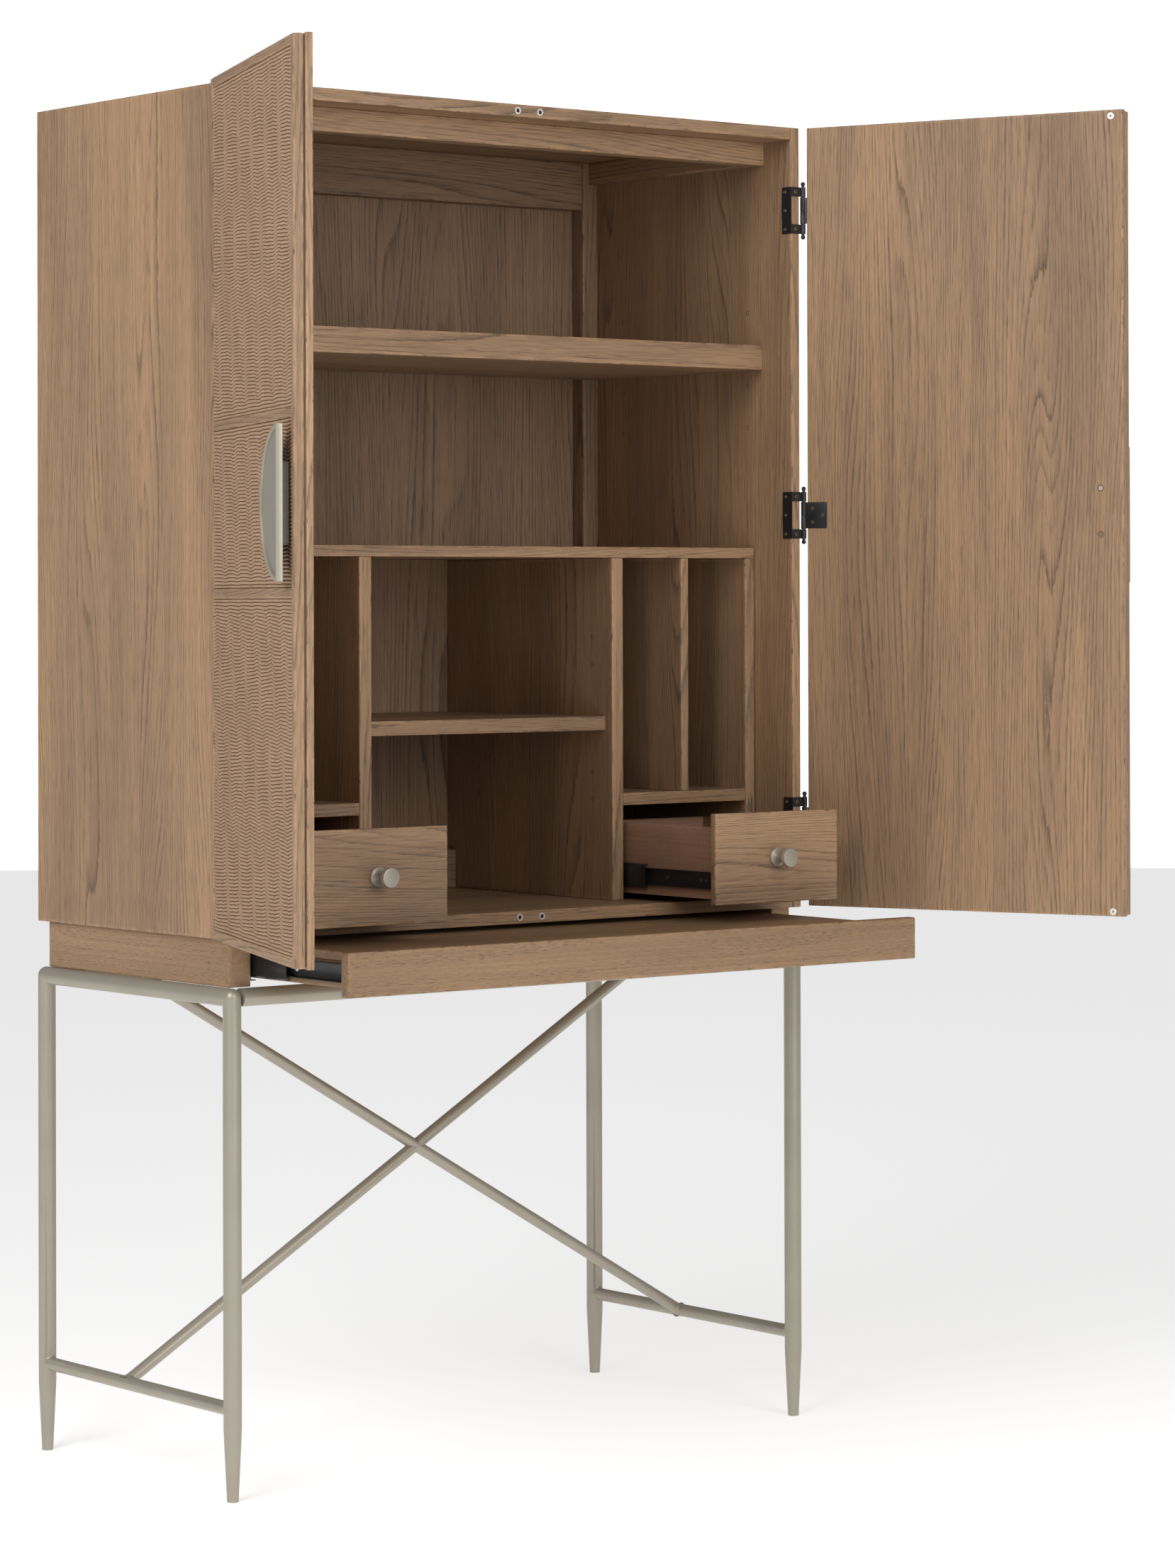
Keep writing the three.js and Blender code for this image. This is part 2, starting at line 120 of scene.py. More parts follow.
def placeGroup(tree, principled, group, values, distance, strength):
    # a shared effect with its own values, feeding the shader's color, roughness and relief
    node = addNode(tree, "ShaderNodeGroup", values, node_tree=group)
    tree.links.new(node.outputs["Color"], principled.inputs["Base Color"])
    tree.links.new(node.outputs["Roughness"], principled.inputs["Roughness"])
    addBump(tree, principled, node.outputs["Height"], distance, strength)


# wood: growth lines, pores and slow colour change, all from where a point lies in its board
def buildWoodGroup():
    number, vector, color = "NodeSocketFloat", "NodeSocketVector", "NodeSocketColor"
    tree, given, result = newGroup("woodFigure", [
        ("Place", vector, None), ("Edge", number, 0.0),
        ("Pale", color, (0.4, 0.27, 0.18, 1)), ("Deep", color, (0.25, 0.16, 0.1, 1)),
        ("Line Color", color, (0.08, 0.06, 0.05, 1)),
        ("Line Gap", number, 0.007), ("Swing", number, 0.1), ("Line Strength", number, 0.7),
        ("Pore Length", number, 0.03), ("Pore Width", number, 0.0016), ("Pore Strength", number, 0.5),
    ], [("Color", color), ("Roughness", number), ("Height", number)])
    place = given["Place"]
    parts = addNode(tree, "ShaderNodeSeparateXYZ", {0: place}).outputs

    # the growth lines are contours of a slow field, so they close into long arches
    slow = noise(tree, place, (0.75, 6.0, 6.0), 1.0)
    spacing = noise(tree, place, (0.4, 19.0, 19.0), 1.0)
    fray = noise(tree, place, (60.0, 420.0, 420.0), 2.0)
    swung = calc(tree, "MULTIPLY", calc(tree, "SUBTRACT", slow, 0.5), given["Swing"])
    leaning = calc(tree, "MULTIPLY_ADD", parts[2], 0.6, parts[1])
    frayed = calc(tree, "MULTIPLY_ADD", fray, 0.0022, calc(tree, "ADD", leaning, swung))
    phase = calc(tree, "MULTIPLY_ADD", spacing, 4.5, calc(tree, "DIVIDE", frayed, given["Line Gap"]))
    within = calc(tree, "FRACT", phase)
    left = calc(tree, "SUBTRACT", 1.0, within)
    onset = remap(tree, within, 0.0, 0.09)
    line = calc(tree, "MULTIPLY", calc(tree, "POWER", left, 4.5), onset)
    ringPlace = addNode(tree, "ShaderNodeCombineXYZ", {
        0: calc(tree, "MULTIPLY", parts[0], 2.2), 1: calc(tree, "MULTIPLY", calc(tree, "FLOOR", phase), 0.71),
    }).outputs[0]
    ringStrength = remap(tree, noise(tree, ringPlace, (1.0, 1.0, 1.0), 1.0), 0.32, 0.66, 0.12, 1.0)
    lines = calc(tree, "MULTIPLY", line, ringStrength)

    # pores: short strokes along the grain, closest together just after each line
    stroke = addNode(tree, "ShaderNodeCombineXYZ", {
        0: calc(tree, "DIVIDE", parts[0], given["Pore Length"]),
        1: calc(tree, "DIVIDE", parts[1], given["Pore Width"]),
        2: calc(tree, "DIVIDE", parts[2], given["Pore Width"]),
    }).outputs[0]
    poreField = noise(tree, stroke, (1.0, 1.0, 1.0), 1.0)
    crowd = calc(tree, "MULTIPLY_ADD", calc(tree, "POWER", left, 1.3), 0.75, 0.35)
    pores = calc(tree, "MULTIPLY", remap(tree, poreField, 0.5, 0.68), crowd)
    streak = noise(tree, place, (3.0, 260.0, 260.0), 2.0, 0.6)
    fine = noise(tree, place, (90.0, 900.0, 900.0), 1.0)
    tone = remap(tree, noise(tree, place, (0.8, 9.0, 9.0), 3.0, 0.6), 0.3, 0.7)

    shade = blendColor(tree, tone, given["Pale"], given["Deep"])
    bright = calc(tree, "MULTIPLY_ADD", streak, 0.5, calc(tree, "MULTIPLY_ADD", fine, 0.24, 0.63))
    brightGrey = addNode(tree, "ShaderNodeCombineColor", {0: bright, 1: bright, 2: bright}).outputs[0]
    shade = blendColor(tree, 1.0, shade, brightGrey, "MULTIPLY")
    poreDark = calc(tree, "MULTIPLY", pores, given["Pore Strength"])
    lineDark = calc(tree, "MULTIPLY", lines, given["Line Strength"])
    shade = blendColor(tree, poreDark, shade, given["Line Color"])
    shade = blendColor(tree, lineDark, shade, given["Line Color"])

    # edges: rubbed paler, with dark nicks
    scuff = noise(tree, place, (26.0, 70.0, 70.0), 3.0, 0.65)
    rubbed = calc(tree, "MULTIPLY", given["Edge"], remap(tree, scuff, 0.42, 0.62, 0.0, 0.5))
    paler = blendColor(tree, 1.0, given["Pale"], (1.22, 1.2, 1.2), "MULTIPLY")
    shade = blendColor(tree, rubbed, shade, paler)
    nick = noise(tree, place, (70.0, 260.0, 260.0), 2.0, 0.7)
    edgeOnly = remap(tree, given["Edge"], 0.75, 1.0)
    nicked = calc(tree, "MULTIPLY", edgeOnly, remap(tree, nick, 0.56, 0.68, 0.0, 0.75))
    shade = blendColor(tree, nicked, shade, given["Line Color"])
    tree.links.new(shade, result["Color"])

    grooves = calc(tree, "MAXIMUM", calc(tree, "MULTIPLY", pores, 0.9), calc(tree, "MULTIPLY", lines, 0.8))
    tree.links.new(calc(tree, "MULTIPLY_ADD", grooves, 0.16, 0.46), result["Roughness"])
    tree.links.new(calc(tree, "SUBTRACT", 1.0, grooves), result["Height"])
    return tree


def woodMaterial(name, look):
    material, tree, principled = newMaterial(name, {"Specular IOR Level": 0.42, "Metallic": 0.0})
    place = addNode(tree, "ShaderNodeAttribute", attribute_name="grain").outputs["Vector"]
    edge = addNode(tree, "ShaderNodeAttribute", attribute_name="edge").outputs["Fac"]
    placeGroup(tree, principled, woodGroup, {"Place": place, "Edge": edge, **look}, 0.0004, 0.5)
    return material


woodLooks = {
    "oak": {
        "Pale": (0.42, 0.258, 0.14, 1), "Deep": (0.285, 0.178, 0.104, 1),
        "Line Color": (0.06, 0.045, 0.038, 1),
        "Line Gap": 0.006, "Swing": 0.2, "Line Strength": 1.0,
        "Pore Length": 0.045, "Pore Width": 0.0012, "Pore Strength": 0.55,
    },
    "oakDark": {
        "Pale": (0.36, 0.228, 0.135, 1), "Deep": (0.25, 0.16, 0.095, 1),
        "Line Color": (0.04, 0.028, 0.022, 1),
        "Line Gap": 0.0085, "Swing": 0.2, "Line Strength": 0.95,
        "Pore Length": 0.045, "Pore Width": 0.0012, "Pore Strength": 0.6,
    },
    "walnut": {
        "Pale": (0.36, 0.222, 0.118, 1), "Deep": (0.275, 0.168, 0.09, 1),
        "Line Color": (0.07, 0.048, 0.034, 1),
        "Line Gap": 0.021, "Swing": 0.1, "Line Strength": 0.16,
        "Pore Length": 0.012, "Pore Width": 0.0011, "Pore Strength": 0.5,
    },
    "redwood": {
        "Pale": (0.42, 0.245, 0.16, 1), "Deep": (0.34, 0.195, 0.125, 1),
        "Line Color": (0.07, 0.038, 0.028, 1),
        "Line Gap": 0.014, "Swing": 0.06, "Line Strength": 0.14,
        "Pore Length": 0.006, "Pore Width": 0.0011, "Pore Strength": 0.3,
    },
    # a darker wood used only as painted shade: the groove round each door's edge and the handle screw sockets
    "grooveShadeWood": {
        "Pale": (0.24, 0.15, 0.1, 1), "Deep": (0.15, 0.096, 0.068, 1),
        "Line Color": (0.03, 0.022, 0.018, 1),
        "Line Gap": 0.01, "Swing": 0.08, "Line Strength": 0.6,
        "Pore Length": 0.02, "Pore Width": 0.0015, "Pore Strength": 0.6,
    },
}
woodGroup = buildWoodGroup()
woods = {name: woodMaterial(name, look) for name, look in woodLooks.items()}


# metals: a fine sprayed or plated surface
def buildMetalGroup():
    number, vector, color = "NodeSocketFloat", "NodeSocketVector", "NodeSocketColor"
    tree, given, result = newGroup("finishedMetal", [
        ("Place", vector, None), ("Color", color, (0.5, 0.5, 0.5, 1)), ("Dull", color, (0.3, 0.3, 0.3, 1)),
        ("Fleck", number, 0.1), ("Roughness", number, 0.35),
    ], [("Color", color), ("Roughness", number), ("Height", number)])
    cloud = remap(tree, noise(tree, given["Place"], (9.0, 9.0, 9.0), 3.0, 0.6), 0.35, 0.7)
    fleck = remap(tree, noise(tree, given["Place"], (1500.0, 1500.0, 1500.0), 1.0), 0.3, 0.75)
    peel = noise(tree, given["Place"], (420.0, 420.0, 420.0), 2.0)
    mixed = calc(tree, "MULTIPLY_ADD", calc(tree, "SUBTRACT", fleck, 0.5), given["Fleck"],
                 calc(tree, "MULTIPLY", cloud, 0.3))
    tree.links.new(blendColor(tree, mixed, given["Color"], given["Dull"]), result["Color"])
    clouded = calc(tree, "MULTIPLY_ADD", cloud, 0.05, given["Roughness"])
    tree.links.new(calc(tree, "MULTIPLY_ADD", fleck, 0.1, clouded), result["Roughness"])
    tree.links.new(calc(tree, "MULTIPLY_ADD", fleck, 0.35, peel), result["Height"])
    return tree


def metalMaterial(name, look):
    material, tree, principled = newMaterial(name, {
        "Metallic": look["metallic"], "Specular IOR Level": 0.5,
        "Coat Weight": look["coat"], "Coat Roughness": 0.22,
    })
    values = {
        "Place": addNode(tree, "ShaderNodeTexCoord").outputs["Object"],
        "Color": (*look["color"], 1), "Dull": (*look["dull"], 1),
        "Fleck": look["fleck"], "Roughness": look["roughness"],
    }
    placeGroup(tree, principled, metalGroup, values, look["bump"], 0.35)
    return material


metalLooks = {
    "champagne": {
        "color": (0.4, 0.365, 0.295), "dull": (0.31, 0.28, 0.22), "metallic": 0.45,
        "coat": 0.12, "fleck": 0.5, "roughness": 0.36, "bump": 0.00006,
    },
    # the same metal drawn darker: painted shade on the handle's sunk face and on its standoff block
    "champagneShade": {
        "color": (0.28, 0.258, 0.216), "dull": (0.225, 0.207, 0.173), "metallic": 0.3,
        "coat": 0.0, "fleck": 0.7, "roughness": 0.5, "bump": 0.0001,
    },
    "blackSteel": {
        "color": (0.022, 0.024, 0.027), "dull": (0.012, 0.013, 0.015), "metallic": 0.45,
        "coat": 0.25, "fleck": 0.5, "roughness": 0.36, "bump": 0.00006,
    },
    "brightSteel": {
        "color": (0.8, 0.79, 0.77), "dull": (0.66, 0.65, 0.63), "metallic": 0.4,
        "coat": 0.0, "fleck": 0.3, "roughness": 0.24, "bump": 0.00003,
    },
    "brass": {
        "color": (0.24, 0.175, 0.1), "dull": (0.11, 0.078, 0.046), "metallic": 0.8,
        "coat": 0.0, "fleck": 0.3, "roughness": 0.32, "bump": 0.00003,
    },
    # near black: painted shade inside holes; the magnets' sunk screws use it too
    "darkHole": {
        "color": (0.02, 0.014, 0.01), "dull": (0.01, 0.008, 0.006), "metallic": 0.0,
        "coat": 0.0, "fleck": 0.3, "roughness": 0.8, "bump": 0.00003,
    },
}
metalGroup = buildMetalGroup()
metals = {name: metalMaterial(name, look) for name, look in metalLooks.items()}


# woven cane: raised ribs are in the mesh, the small stitches across them are here
def caneMaterial():
    look = {"stitch": 0.0023, "pale": (0.68, 0.44, 0.28), "deep": (0.38, 0.235, 0.14),
            "gap": (0.07, 0.042, 0.028), "glint": (0.68, 0.53, 0.41)}
    material, tree, principled = newMaterial("cane", {"Specular IOR Level": 0.4, "Roughness": 0.55})
    weave = addNode(tree, "ShaderNodeAttribute", attribute_name="weave").outputs["Vector"]
    parts = addNode(tree, "ShaderNodeSeparateXYZ", {0: weave}).outputs
    rib = calc(tree, "FLOOR", parts[1])
    across = calc(tree, "FRACT", parts[1])
    ribShift = addNode(tree, "ShaderNodeTexWhiteNoise", {"W": rib}, noise_dimensions="1D").outputs["Value"]
    slanted = calc(tree, "MULTIPLY_ADD", across, 0.55, calc(tree, "DIVIDE", parts[0], look["stitch"]))
    run = calc(tree, "MULTIPLY_ADD", ribShift, 3.0, slanted)
    stitch = calc(tree, "ABSOLUTE", calc(tree, "SINE", calc(tree, "MULTIPLY", run, math.pi)))
    ribRise = calc(tree, "SINE", calc(tree, "MULTIPLY", across, math.pi))
    cell = addNode(tree, "ShaderNodeCombineXYZ", {0: calc(tree, "FLOOR", run), 1: rib}).outputs[0]
    cellNoise = addNode(tree, "ShaderNodeTexWhiteNoise", {"Vector": cell}, noise_dimensions="2D")
    chance = cellNoise.outputs["Value"]
    columns = noise(tree, weave, (62.0, 0.0, 1.0), 2.0, 0.7)
    patch = noise(tree, weave, (14.0, 0.07, 1.0), 3.0)
    shade = blendColor(tree, remap(tree, patch, 0.25, 0.75, 0.3, 0.6), look["pale"], look["deep"])
    shade = blendColor(tree, remap(tree, chance, 0.0, 1.0, 0.0, 0.55), shade, look["deep"])
    lucky = calc(tree, "MULTIPLY", remap(tree, chance, 0.86, 0.9), remap(tree, columns, 0.5, 0.62, 0.12, 1.0))
    shade = blendColor(tree, calc(tree, "MULTIPLY", lucky, stitch), shade, look["glint"])
    # darker between stitches and down the rib valleys: painted shade in the weave's creases
    hollow = calc(tree, "MULTIPLY", calc(tree, "POWER", stitch, 0.5), remap(tree, ribRise, 0.05, 0.6))
    shade = blendColor(tree, remap(tree, hollow, 0.0, 0.75, 0.85, 0.0), shade, look["gap"])
    tree.links.new(shade, principled.inputs["Base Color"])
    addBump(tree, principled, calc(tree, "MULTIPLY", stitch, ribRise), 0.0009, 0.8)
    return material


cane = caneMaterial()
print("materials made")


# mesh helpers
def finishPiece(name, bm, material, body, replaces=(), turn=None, smoothBelow=35):
    if turn is not None:
        bmesh.ops.transform(bm, matrix=turn, verts=bm.verts)
    bmesh.ops.recalc_face_normals(bm, faces=bm.faces)
    mesh = bpy.data.meshes.new(name)
    bm.to_mesh(mesh)
    bm.free()
    mesh.shade_smooth()
    mesh.set_sharp_from_angle(angle=math.radians(smoothBelow))
    materials = material if isinstance(material, list) else [material]
    for item in materials:
        mesh.materials.append(item)
    piece = bpy.data.objects.new(name, mesh)
    bpy.context.scene.collection.objects.link(piece)
    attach(piece, body)
    if replaces:
        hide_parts(*replaces)
    return piece


def boxShell(low, high):
    bm = bmesh.new()
    corners = [bm.verts.new((x, y, z))
               for x in (low[0], high[0]) for y in (low[1], high[1]) for z in (low[2], high[2])]
    for loop in ((0, 1, 3, 2), (4, 6, 7, 5), (0, 4, 5, 1), (2, 3, 7, 6), (0, 2, 6, 4), (1, 5, 7, 3)):
        bm.faces.new([corners[i] for i in loop])
    bmesh.ops.recalc_face_normals(bm, faces=bm.faces)
    return bm


def outlineShell(points, axis, low, high):
    # an outline in the two axes other than the given one, drawn from low to high along it
    bm = bmesh.new()
    rings = []
    for level in (low, high):
        ring = []
        for first, second in points:
            place = [first, second]
            place.insert(axis, level)
            ring.append(bm.verts.new(place))
        rings.append(ring)
    count = len(points)
    bm.faces.new(rings[0])
    bm.faces.new(rings[1])
    for i in range(count):
        bm.faces.new((rings[0][i], rings[0][(i + 1) % count], rings[1][(i + 1) % count], rings[1][i]))
    bmesh.ops.recalc_face_normals(bm, faces=bm.faces)
    return bm


boardEase = {"round": 0.0011, "segments": 2, "wearBand": 0.0045}
boardPicks = random.Random(41)


def markBoard(bm, low, high, grainAxis, ease):
    # rounds every edge, cuts a band along it for wear, and notes each point's place in the plank
    bmesh.ops.bevel(bm, geom=bm.edges[:], offset=ease, segments=boardEase["segments"], profile=0.5,
                    affect="EDGES", clamp_overlap=True)
    spans = [high[i] - low[i] for i in range(3)]
    thin = spans.index(min(spans))
    across = 3 - thin - grainAxis if thin != grainAxis else (grainAxis + 1) % 3
    depth = 3 - grainAxis - across
    band = min(boardEase["wearBand"], 0.28 * min(spans))
    broad = [f for f in bm.faces if f.calc_area() > (3 * ease) ** 2 * 4 and len(f.verts) >= 4
             and max(abs(c) for c in f.normal) > 0.999]
    bmesh.ops.inset_individual(bm, faces=broad, thickness=band, use_even_offset=True)
    edge = bm.verts.layers.float.new("edge")
    grain = bm.verts.layers.float_vector.new("grain")
    shift = Vector((boardPicks.uniform(0, 6), boardPicks.uniform(0, 6), boardPicks.uniform(0, 3)))
    for vert in bm.verts:
        vert[edge] = 1.0
        vert[grain] = Vector((vert.co[grainAxis], vert.co[across], vert.co[depth])) + shift
    for face in broad:
        for vert in face.verts:
            vert[edge] = 0.0


def board(name, low, high, grainAxis, wood="oak", body="cabinet", slot="oak", replaces=(), turn=None,
          ease=None):
    bm = boxShell(low, high)
    markBoard(bm, low, high, grainAxis, ease or boardEase["round"])
    return finishPiece(name, bm, woods[wood], body, replaces, turn)


def nodeBoard(node, grainAxis, wood="oak", body="cabinet", slot="oak", ease=None):
    low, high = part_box(node)
    return board(f"{node}_board", low, high, grainAxis, wood, body, slot, (node,), None, ease)


def lathe(profile, segments=40):
    # (radius, distance) pairs from axis to axis, turned about +Z
    bm = bmesh.new()
    rings = []
    for radius, height in profile:
        if radius < 1e-7:
            rings.append([bm.verts.new((0, 0, height))])
            continue
        turns = [2 * math.pi * i / segments for i in range(segments)]
        rings.append([bm.verts.new((radius * math.cos(a), radius * math.sin(a), height)) for a in turns])
    for lower, upper in zip(rings, rings[1:]):
        for i in range(segments):
            j = (i + 1) % segments
            loop = [lower[i % len(lower)], lower[j % len(lower)],
                    upper[j % len(upper)], upper[i % len(upper)]]
            kept = list(dict.fromkeys(loop))
            if len(kept) > 2:
                bm.faces.new(kept)
    return bm


def loftRings(bm, rings):
    # joins equal rings of points into a closed shell and returns the face at its far end
    for lower, upper in zip(rings, rings[1:]):
        for i in range(len(lower)):
            j = (i + 1) % len(lower)
            bm.faces.new((lower[i], lower[j], upper[j], upper[i]))
    bm.faces.new(rings[0])
    return bm.faces.new(rings[-1])


def aimed(place, direction):
    turn = Vector(direction).to_track_quat("Z", "Y").to_matrix().to_4x4()
    return Matrix.Translation(place) @ turn


def joinedShells(shells):
    whole = bmesh.new()
    for bm in shells:
        mesh = bpy.data.meshes.new("part")
        bm.to_mesh(mesh)
        bm.free()
        whole.from_mesh(mesh)
        bpy.data.meshes.remove(mesh)
    return whole


# stand
standSizes = {
    "fillet": 0.0035, "filletSides": 40, "filletSteps": 5, "filletSunk": 0.0001,
    "leg": 0.0127, "stretcher": 0.0095, "brace": 0.0085, "stretcherHeight": 0.125, "braceTopX": 0.478,
}


def smoothCopy(node, name, material, body):
    bm = bmesh.new()
    bm.from_mesh(frame["nodes"][node].data)
    bmesh.ops.remove_doubles(bm, verts=bm.verts, dist=1e-5)
    bmesh.ops.dissolve_limit(bm, angle_limit=math.radians(0.5), verts=bm.verts, edges=bm.edges)
    return finishPiece(name, bm, material, body, (node,))


def filletRing(place, axis, bigRadius, direction, radius):
    # a concave weld where a tube of the given radius leaves a bigger tube's side
    axis, direction = Vector(axis).normalized(), Vector(direction).normalized()
    side = axis.cross(direction).normalized()
    up = direction.cross(side).normalized()
    size, sunk = standSizes["fillet"], standSizes["filletSunk"]
    bm = bmesh.new()
    rings = []
    for step in range(standSizes["filletSteps"] + 1):
        bend = math.pi / 2 * step / standSizes["filletSteps"]
        out = radius + size * (1 - math.sin(bend))
        lift = size * (1 - math.cos(bend))
        ring = []
        for i in range(standSizes["filletSides"]):
            turn = 2 * math.pi * i / standSizes["filletSides"]
            start = side * (out * math.cos(turn)) + up * (out * math.sin(turn))
            flat = start - axis * start.dot(axis)
            along = direction - axis * direction.dot(axis)
            a, b, c = along.dot(along), 2 * flat.dot(along), flat.dot(flat) - bigRadius ** 2
            reach = (-b + math.sqrt(max(b * b - 4 * a * c, 0.0))) / (2 * a)
            ring.append(bm.verts.new(Vector(place) + start + direction * (reach + lift - sunk)))
        rings.append(ring)
    loftRings(bm, rings)
    return bm


def buildStand():
    champagne = metals["champagne"]
    for node in ("end_frame_left", "end_frame_right", "stand_rail_front", "stand_rail_back",
                 "brace_long", "brace_upper_half", "brace_lower_half"):
        smoothCopy(node, f"{node}_tube", champagne, "cabinet")
    tube = standSizes
    low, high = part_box("end_frame_right")
    legX = (low.x + high.x) / 2
    legYs = (low.y + tube["leg"], high.y - tube["leg"])
    braceLow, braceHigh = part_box("brace_long")
    braceY = (braceLow.y + braceHigh.y) / 2
    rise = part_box("plinth_side_right")[0].z - tube["stretcherHeight"]
    welds = []
    for side in sides.values():
        x = side * legX
        for y, inward in zip(legYs, (1, -1)):
            welds.append(filletRing((x, y, tube["stretcherHeight"]), (0, 0, 1), tube["leg"], (0, inward, 0),
                                    tube["stretcher"]))
        welds.append(filletRing((x, braceY, tube["stretcherHeight"]), (0, 1, 0), tube["stretcher"],
                                (-side * (legX + tube["braceTopX"]), 0, rise), tube["brace"]))
    finishPiece("stand_welds", joinedShells(welds), champagne, "cabinet", smoothBelow=60)


buildStand()
print("stand made")


# cabinet carcass, organiser, plinth, tray and drawer wood
def buildCarcass():
    for word in sides:
        nodeBoard(f"side_panel_{word}", 2)
        nodeBoard(f"organiser_end_{word}", 2)
        nodeBoard(f"cubby_divider_{word}", 2)
        nodeBoard(f"cubby_floor_{word}", 0)
        nodeBoard(f"plinth_side_{word}", 1, "walnut", slot="walnut")
    nodeBoard("plinth_back", 0, "walnut", slot="walnut")
    for node in ("top_panel", "bottom_panel", "header_rail", "upper_shelf", "middle_shelf"):
        nodeBoard(node, 0)
    nodeBoard("back_panel", 2, "oakDark", slot="oak_dark")


backFrame = {"stile": 0.030, "topRail": 0.075, "bottomRail": 0.060, "bottomRailDepth": 0.020, "ease": 0.0016}


def buildBackFrame():
    low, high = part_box("back_frame")
    innerX = high.x - backFrame["stile"]
    railLow = (-innerX + 0.0001, low.y + 0.0004, high.z - backFrame["topRail"])
    settings = {"wood": "oakDark", "slot": "oak_dark", "ease": backFrame["ease"]}
    board("back_stile_left", (low.x, low.y, low.z), (-innerX, high.y, high.z), 2, replaces=("back_frame",),
          **settings)
    board("back_stile_right", (innerX, low.y, low.z), (high.x, high.y, high.z), 2, **settings)
    board("back_rail_top", railLow, (innerX - 0.0001, high.y, high.z), 0, **settings)
    board("back_rail_bottom", (-innerX + 0.0001, high.y - backFrame["bottomRailDepth"], low.z),
          (innerX - 0.0001, high.y, low.z + backFrame["bottomRail"]), 0, **settings)


def buildOrganiser():
    low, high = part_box("organiser_top")
    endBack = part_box("organiser_end_right")[1].y
    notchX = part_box("back_frame")[1].x - backFrame["stile"] - 0.0003
    outline = [(low.x, low.y), (high.x, low.y), (high.x, endBack), (notchX, endBack),
               (notchX, high.y), (-notchX, high.y), (-notchX, endBack), (low.x, endBack)]
    bm = outlineShell(outline, 2, low.z, high.z)
    markBoard(bm, low, high, 0, boardEase["round"])
    finishPiece("organiser_top_board", bm, woods["oak"], "cabinet", ("organiser_top",))
    for word in sides:
        low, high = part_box(f"partition_{word}")
        notchY = high.y - backFrame["bottomRailDepth"]
        notchZ = low.z + backFrame["bottomRail"] + 0.0003
        outline = [(low.y, low.z), (notchY, low.z), (notchY, notchZ), (high.y, notchZ),
                   (high.y, high.z), (low.y, high.z)]
        bm = outlineShell(outline, 0, low.x, high.x)
        markBoard(bm, low, high, 2, boardEase["round"])
        finishPiece(f"partition_{word}_board", bm, woods["oak"], "cabinet", (f"partition_{word}",))


def buildTray():
    nodeBoard("tray_fascia", 0, "walnut", "tray", "walnut", 0.0016)
    nodeBoard("tray_board", 0, "walnut", "tray", "oak")
    for word in sides:
        nodeBoard(f"tray_side_{word}", 1, "walnut", "tray", "walnut")


drawerBox = {"wall": 0.012, "floor": 0.006, "crown": 0.0045, "floorEase": 0.0004}


def crownedBoard(name, low, high, grainAxis, body, crownAxis, replaces=()):
    # a drawer side: its two long top edges are well rounded
    bm = boxShell(low, high)
    top = [e for e in bm.edges if all(abs(v.co.z - high[2]) < 1e-6 for v in e.verts)
           and abs((e.verts[0].co - e.verts[1].co)[crownAxis]) > 1e-4]
    bmesh.ops.bevel(bm, geom=top, offset=drawerBox["crown"], segments=4, profile=0.5, affect="EDGES")
    edge = bm.verts.layers.float.new("edge")
    grain = bm.verts.layers.float_vector.new("grain")
    shift = Vector((boardPicks.uniform(0, 6), boardPicks.uniform(0, 6), 0))
    for vert in bm.verts:
        place = Vector((vert.co[grainAxis], vert.co.z, vert.co[1 - grainAxis]))
        vert[grain] = place + shift
        vert[edge] = 0.25
    return finishPiece(name, bm, woods["redwood"], body, replaces)


def buildDrawer(word):
    body = f"drawer_{word}"
    nodeBoard(f"drawer_front_{word}", 0, "oak", body, "oak", 0.0013)
    low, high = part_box(f"drawer_box_{word}")
    wall = drawerBox["wall"]
    crownedBoard(f"drawer_side_left_{word}", low, (low.x + wall, high.y, high.z), 1, body, 1,
                 (f"drawer_box_{word}",))
    crownedBoard(f"drawer_side_right_{word}", (high.x - wall, low.y, low.z), high, 1, body, 1)
    crownedBoard(f"drawer_inner_front_{word}", (low.x + wall, low.y, low.z),
                 (high.x - wall, low.y + wall, high.z), 0, body, 0)
    crownedBoard(f"drawer_back_{word}", (low.x + wall, high.y - wall, low.z),
                 (high.x - wall, high.y, high.z), 0, body, 0)
    board(f"drawer_floor_{word}", (low.x + wall, low.y + wall, low.z),
          (high.x - wall, high.y - wall, low.z + drawerBox["floor"]), 1, "redwood", body, "redwood",
          ease=drawerBox["floorEase"])


knobShape = {
    "profile": [
        (0, 0), (14, 0), (14, 2.2), (13.2, 3.0), (10.5, 3.6), (8.2, 6), (7.0, 9.5), (6.4, 14), (7.2, 18.5),
        (9.5, 21.6), (12.6, 23.2), (13.8, 24.2), (14.0, 25.4), (14.0, 26.4), (13.3, 26.9), (13.3, 27.3),
        (14.0, 27.8), (14.0, 29.4), (13.4, 30.6), (12.4, 31.0), (0, 31.0),
    ],
}


def buildKnob(word):
    low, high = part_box(f"drawer_knob_{word}")
    bm = lathe([(r * mm, h * mm) for r, h in knobShape["profile"]], 48)
    turn = aimed(((low.x + high.x) / 2, high.y, (low.z + high.z) / 2), (0, -1, 0))
    finishPiece(f"knob_{word}", bm, metals["champagne"], f"drawer_{word}",
                (f"drawer_knob_{word}",), turn, 40)


buildCarcass()
buildBackFrame()
buildOrganiser()
buildTray()
for word in sides:
    buildDrawer(word)
    buildKnob(word)
print("woodwork made")


# doors, made closed about the pin and then turned open
doorShape = {
    "openAngle": 112, "slab": 0.0095, "grooveInset": 0.004, "chamfer": 0.0013,
    "border": 0.013, "rail": 0.0135, "railOffset": 0.113, "caneDepth": 0.004, "handleHeight": 1.347,
}
caneWeave = {"pitch": 0.0047, "rise": 0.0024, "rowsPerRib": 5, "columnGap": 0.0085, "lift": 0.0004,
             "wave": 0.0016, "waveLength": 0.083}


